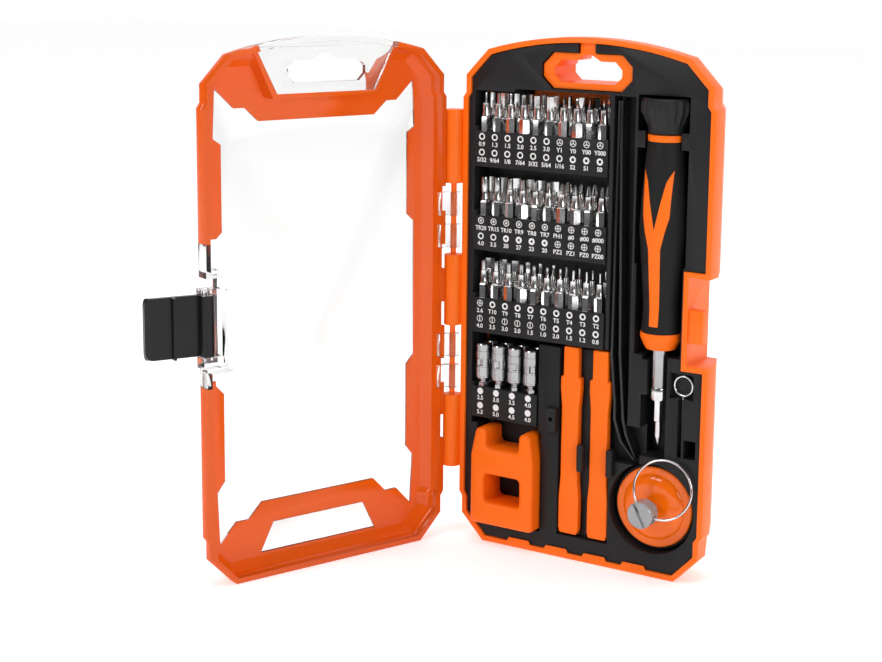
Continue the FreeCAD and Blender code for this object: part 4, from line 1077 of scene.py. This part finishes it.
@dataclass
class TrayTools:
    """Tweezers, pry tools, magnetizer and eject pin."""

    head_gap: float = 0.15
    head_tall: float = 1.0

    def build(self) -> None:
        """Build each tool."""
        for side in ("left", "right"):
            softened(f"tweezers_arm_{side}", f"tweezers_{side}_blade", 0.3,
                     Finishes.BLACKENED, "tweezers", "tool_black")
        for number in (1, 2):
            tool = eased(f"pry_tool_{number}", f"pry_lever_{number}", 0.7, 3)
            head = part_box(f"pry_tool_{number}")[1].z
            for vertex in tool.data.vertices:
                if vertex.co.z > head - self.head_tall * MM:
                    vertex.co.z -= self.head_gap * MM
            finished(tool, Finishes.TOOL, f"pry_tool_{number}", "orange_tool", f"pry_tool_{number}")
        Magnetizer().build()
        softened("magnetizer_magnets", "magnetizer_bars", 0.2,
                 Finishes.SATIN, "magnetizer", "magnet_nickel")
        softened("eject_pin", "card_eject_pin", 0.0, Finishes.CHROME, "eject_pin", "bit_steel")


@dataclass
class SuctionLifter:
    """Rubber cup, glossy domed plate, slotted knob and split ring."""

    lean: float = 14.0
    turn: float = 55.0
    ring_radius: float = 12.6
    wire: float = 0.52
    parting: float = 4.0
    rubber: Profile = ((17.9, 5.7), (18.6, 5.6), (19.1, 6.1), (19.3, 6.8), (19.3, 10.2), (18.9, 11.2),
                       (18.2, 11.2), (16.5, 10.2), (9.0, 9.4), (3.0, 9.2))
    dome: Profile = ((17.2, 5.6), (17.7, 5.3), (17.7, 4.8), (17.2, 4.5), (14.9, 4.5), (14.3, 4.3),
                     (14.0, 3.9), (12.6, 3.1), (10.4, 2.6), (7.4, 2.3), (3.4, 2.2))
    groove_low: Triple = (-8.0, -1.0, -0.7)
    groove_high: Triple = (8.0, 1.1, 0.7)
    groove_turn: float = 62.0

    def axis(self) -> Vector:
        """Middle of the cup's axis at the parting plane."""
        low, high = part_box("suction_rubber")
        return Vector(((low.x + high.x) / 2, 0.0, (low.z + high.z) / 2))

    def turned(self, name: str, profile: Profile, finish: Finishes, slot: str, node: str,
               segments: int = 64) -> None:
        """Piece turned about the cup's axis, its heights measured backwards from the parting plane.

        Args:
            name: what it is called.
            profile: radius and height at each station, in millimetres.
            finish: its finish.
            slot: the record's material slot; not used.
            node: the CAD node that it replaces.
            segments: sides round it.
        """
        piece = drawn(name, segments, profile)
        place(piece, self.axis() + Vector((0, -self.parting * MM, 0)), rotation(-90, "X"))
        settle(piece, name)
        finished(piece, finish, "suction_lifter", slot, node)

    def ring(self) -> None:
        """Split ring: two turns of wire side by side."""
        low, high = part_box("suction_ring")
        middle = (low + high) / 2
        deselect()
        turns = []
        for side in (-1, 1):
            bpy.ops.mesh.primitive_torus_add(
                major_radius=self.ring_radius * MM, minor_radius=self.wire * MM,
                major_segments=96, minor_segments=12, location=(0, 0, side * self.wire * 0.5 * MM))
            turns.append(settle(bpy.context.object, "ring_turn", 60))
        ring = joined(turns, "split_ring")
        along = rotation(90 - self.turn, "Y") @ Vector((1, 0, 0))
        place(ring, middle, rotation(-self.lean, along) @ FACE_FORWARD)
        finished(ring, Finishes.CHROME, "suction_ring", "bit_steel", "suction_ring")

    def build(self) -> None:
        """Build the lifter."""
        self.turned("suction_cup_rubber", self.rubber, Finishes.RUBBER, "black_rubber", "suction_rubber")
        self.turned("suction_cup_plate", self.dome, Finishes.DOME, "orange_shell", "suction_plate")
        knob = eased("suction_knob", "suction_cup_knob", 0.0)
        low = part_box("suction_knob")[0]
        groove = cuboid("groove", Vector(self.groove_low) * MM, Vector(self.groove_high) * MM)
        centre = Vector((self.axis().x, low.y, self.axis().z))
        place(groove, centre, rotation(self.groove_turn, "Y"))
        cut_from(knob, groove)
        bevel(knob, 0.3, 2, 40)
        settle(knob, "suction_cup_knob", 35)
        finished(knob, Finishes.GREY, "suction_lifter", "grey_plastic", "suction_knob")
        self.ring()


# ---- studio
@dataclass
class Studio:
    """Pale floor, soft lights and the camera."""

    eye: Triple = (0.3424, -0.6499, 0.2661)
    forward: Triple = (-0.5217, 0.8355, -0.1730)
    roll: float = 0.61
    lens: float = 70.9
    shift: Pair = (-0.0215, -0.0918)
    sky: float = 1.03
    floor_glow: float = 0.36
    dim: Triple = (0.10, 0.10, 0.105)
    dim_until: float = 0.34
    bright_from: float = 0.56
    floor_size: float = 8.0
    floor_drop: float = 0.0002
    floor_grey: float = 0.93
    floor_roughness: float = 0.7
    aim: Triple = (-0.02, -0.03, 0.11)
    boxes: Sequence[tuple[str, Triple, float, float]] = (
        ("key_box", (-0.50, -1.20, 0.95), 0.55, 8.5),
        ("fill_box", (1.20, -0.85, 0.60), 0.5, 5.0),
        ("top_box", (0.1, -0.3, 1.5), 0.8, 4.5),
    )
    sensor: float = 36.0
    sight: float = 50.0

    def floor(self) -> None:
        """Wide pale floor."""
        deselect()
        bpy.ops.mesh.primitive_plane_add(size=self.floor_size, location=(0, 0, -self.floor_drop))
        sheet = bpy.context.object
        sheet.name = "studio_floor"
        paint = bpy.data.materials.new("studio_floor")
        paint.use_nodes = True
        shader = paint.node_tree.nodes["Principled BSDF"]
        preset(shader, {
            "Base Color": (*[self.floor_grey] * 3, 1), "Roughness": self.floor_roughness,
            "Emission Color": (1, 1, 1, 1), "Emission Strength": self.floor_glow})
        sheet.data.materials.append(paint)

    def world(self) -> None:
        """White beyond the set and dim on the near side, so that polished metal has contrast."""
        world = bpy.data.worlds.new("studio")
        bpy.context.scene.world = world
        world.use_nodes = True
        tree = world.node_tree
        nodes = tree.nodes
        background = nodes["Background"]
        direction = nodes.new("ShaderNodeTexCoord")
        split = nodes.new("ShaderNodeSeparateXYZ")
        ramp = nodes.new("ShaderNodeValToRGB")
        ramp.color_ramp.elements[0].position = self.dim_until
        ramp.color_ramp.elements[0].color = (*self.dim, 1)
        ramp.color_ramp.elements[1].position = self.bright_from
        ramp.color_ramp.elements[1].color = (1.0, 1.0, 1.0, 1)
        shift = nodes.new("ShaderNodeMapRange")
        shift.inputs["From Min"].default_value = -1.0
        wire(tree, (direction, "Generated"), (split, "Vector"))
        wire(tree, (split, "Y"), (shift, "Value"))
        wire(tree, (shift, "Result"), (ramp, "Fac"))
        wire(tree, (ramp, "Color"), (background, "Color"))
        background.inputs["Strength"].default_value = self.sky

    def lights(self) -> None:
        """Three soft boxes aimed at the set."""
        target = Vector(self.aim)
        for name, spot, size, power in self.boxes:
            data = bpy.data.lights.new(name, "AREA")
            data.shape = "SQUARE"
            data.size = size
            data.energy = power
            lamp = bpy.data.objects.new(name, data)
            lamp.location = spot
            lamp.rotation_euler = (target - Vector(spot)).to_track_quat("-Z", "Y").to_euler()
            bpy.context.scene.collection.objects.link(lamp)

    def camera(self) -> None:
        """Camera at the viewing angle, with the small shift that the framing needs."""
        data = bpy.data.cameras.new("view")
        data.lens = self.lens
        data.sensor_width = self.sensor
        data.shift_x, data.shift_y = self.shift
        data.clip_end = self.sight
        view = bpy.data.objects.new("view", data)
        ahead = Vector(self.forward).normalized()
        right = ahead.cross(Vector((0, 0, 1))).normalized()
        upward = right.cross(ahead)
        tilt = math.radians(self.roll)
        right, upward = (right * math.cos(tilt) + upward * math.sin(tilt),
                         upward * math.cos(tilt) - right * math.sin(tilt))
        turn = Matrix((right, upward, -ahead)).transposed()
        view.matrix_world = Matrix.Translation(Vector(self.eye)) @ turn.to_4x4()
        bpy.context.scene.collection.objects.link(view)
        bpy.context.scene.camera = view

    def build(self) -> None:
        """Set the studio up."""
        bpy.context.scene.view_settings.view_transform = "Standard"
        self.floor()
        self.world()
        self.lights()
        self.camera()


def rack_plan() -> list[Rack]:
    """The three bit racks, with what each holds and what is printed on it.

    Returns:
        The racks, from the top down.
    """
    def line(sign: Sign, *words: str) -> list[tuple[Sign, str]]:
        """Labels that share a sign."""
        return [(sign, word) for word in words]

    return [
        Rack(1, [
            ("bits_hex_small", Tip.HEX, 0, "front", (0.9, 1.3, 1.5, 2.0, 2.5, 3.0)),
            ("bits_tri_wing", Tip.WING, 6, "front", (3.0, 2.6, 2.2, 2.0)),
            ("bits_hex_inch", Tip.HEX, 0, "back", (3.97, 3.57, 3.17, 2.78, 2.38, 1.98, 1.59)),
            ("bits_square", Tip.SQUARE, 7, "back", (2.9, 2.3, 1.9)),
        ], (
            line(Sign.HEX, "0.9", "1.3", "1.5", "2.0", "2.5", "3.0")
            + line(Sign.RING_WING, "Y1", "Y0", "Y00", "Y000"),
            line(Sign.HEX, "5/32", "9/64", "1/8", "7/64", "3/32", "5/64", "1/16")
            + line(Sign.SQUARE, "S2", "S1", "S0"),
        )),
        Rack(2, [
            ("bits_star_bored", Tip.STAR, 0, "front", (3.8, 3.3, 2.7, 2.5, 2.3, 2.0)),
            ("bits_cross", Tip.CROSS, 6, "front", (3.2, 2.6, 2.2, 1.8)),
            ("bits_hex_large", Tip.HEX, 0, "back", (4.0, 3.5)),
            ("bits_triangle", Tip.TRIANGLE, 2, "back", (3.0, 2.7, 2.3, 2.0)),
            ("bits_cross_ribbed", Tip.CROSS, 6, "back", (3.8, 3.2, 2.4, 2.0)),
        ], (
            line(Sign.RING_STAR, "TR20", "TR15", "TR10", "TR9", "TR8", "TR7")
            + line(Sign.RING_CROSS, "PH1", "#0", "#00", "#000"),
            line(Sign.HEX, "4.0", "3.5") + line(Sign.TRIANGLE, "30", "27", "23", "20")
            + line(Sign.RING_CROSS, "PZ2", "PZ1", "PZ0", "PZ00"),
        )),
        Rack(3, [
            ("bits_star", Tip.STAR, 0, "front", (2.6, 2.7, 2.5, 2.3, 2.0, 1.7, 1.4, 1.3, 1.1, 0.9)),
            ("bits_slot", Tip.SLOT, 0, "back", (4.0, 3.5, 3.0, 2.0, 1.5, 1.0)),
            ("bits_five_point", Tip.FIVE_POINT, 6, "back", (2.0, 1.5, 1.2, 0.8)),
        ], (
            line(Sign.RING_CROSS, "2.6")
            + line(Sign.RING_POINTS, "T10", "T9", "T8", "T7", "T6", "T5", "T4", "T3", "T2"),
            line(Sign.RING_SLOT, "4.0", "3.5", "3.0", "2.0", "1.5", "1.0")
            + line(Sign.RING_POINTS, "2.0", "1.5", "1.2", "0.8"),
        )),
    ]


def main() -> None:
    """Build every part of the set round the frame."""
    logging.basicConfig(level=logging.INFO, format="%(name)s: %(message)s")
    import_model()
    Case().build()
    shop = BitBlank()
    blank = shop.build()
    for rack in rack_plan():
        rack.build(blank, shop)
    bpy.data.objects.remove(blank)
    NutDrivers().build()
    TrayClips().build()
    PrecisionDriver().build()
    TrayTools().build()
    SuctionLifter().build()
    Studio().build()
    deselect()


if __name__ == "__main__":
    main()
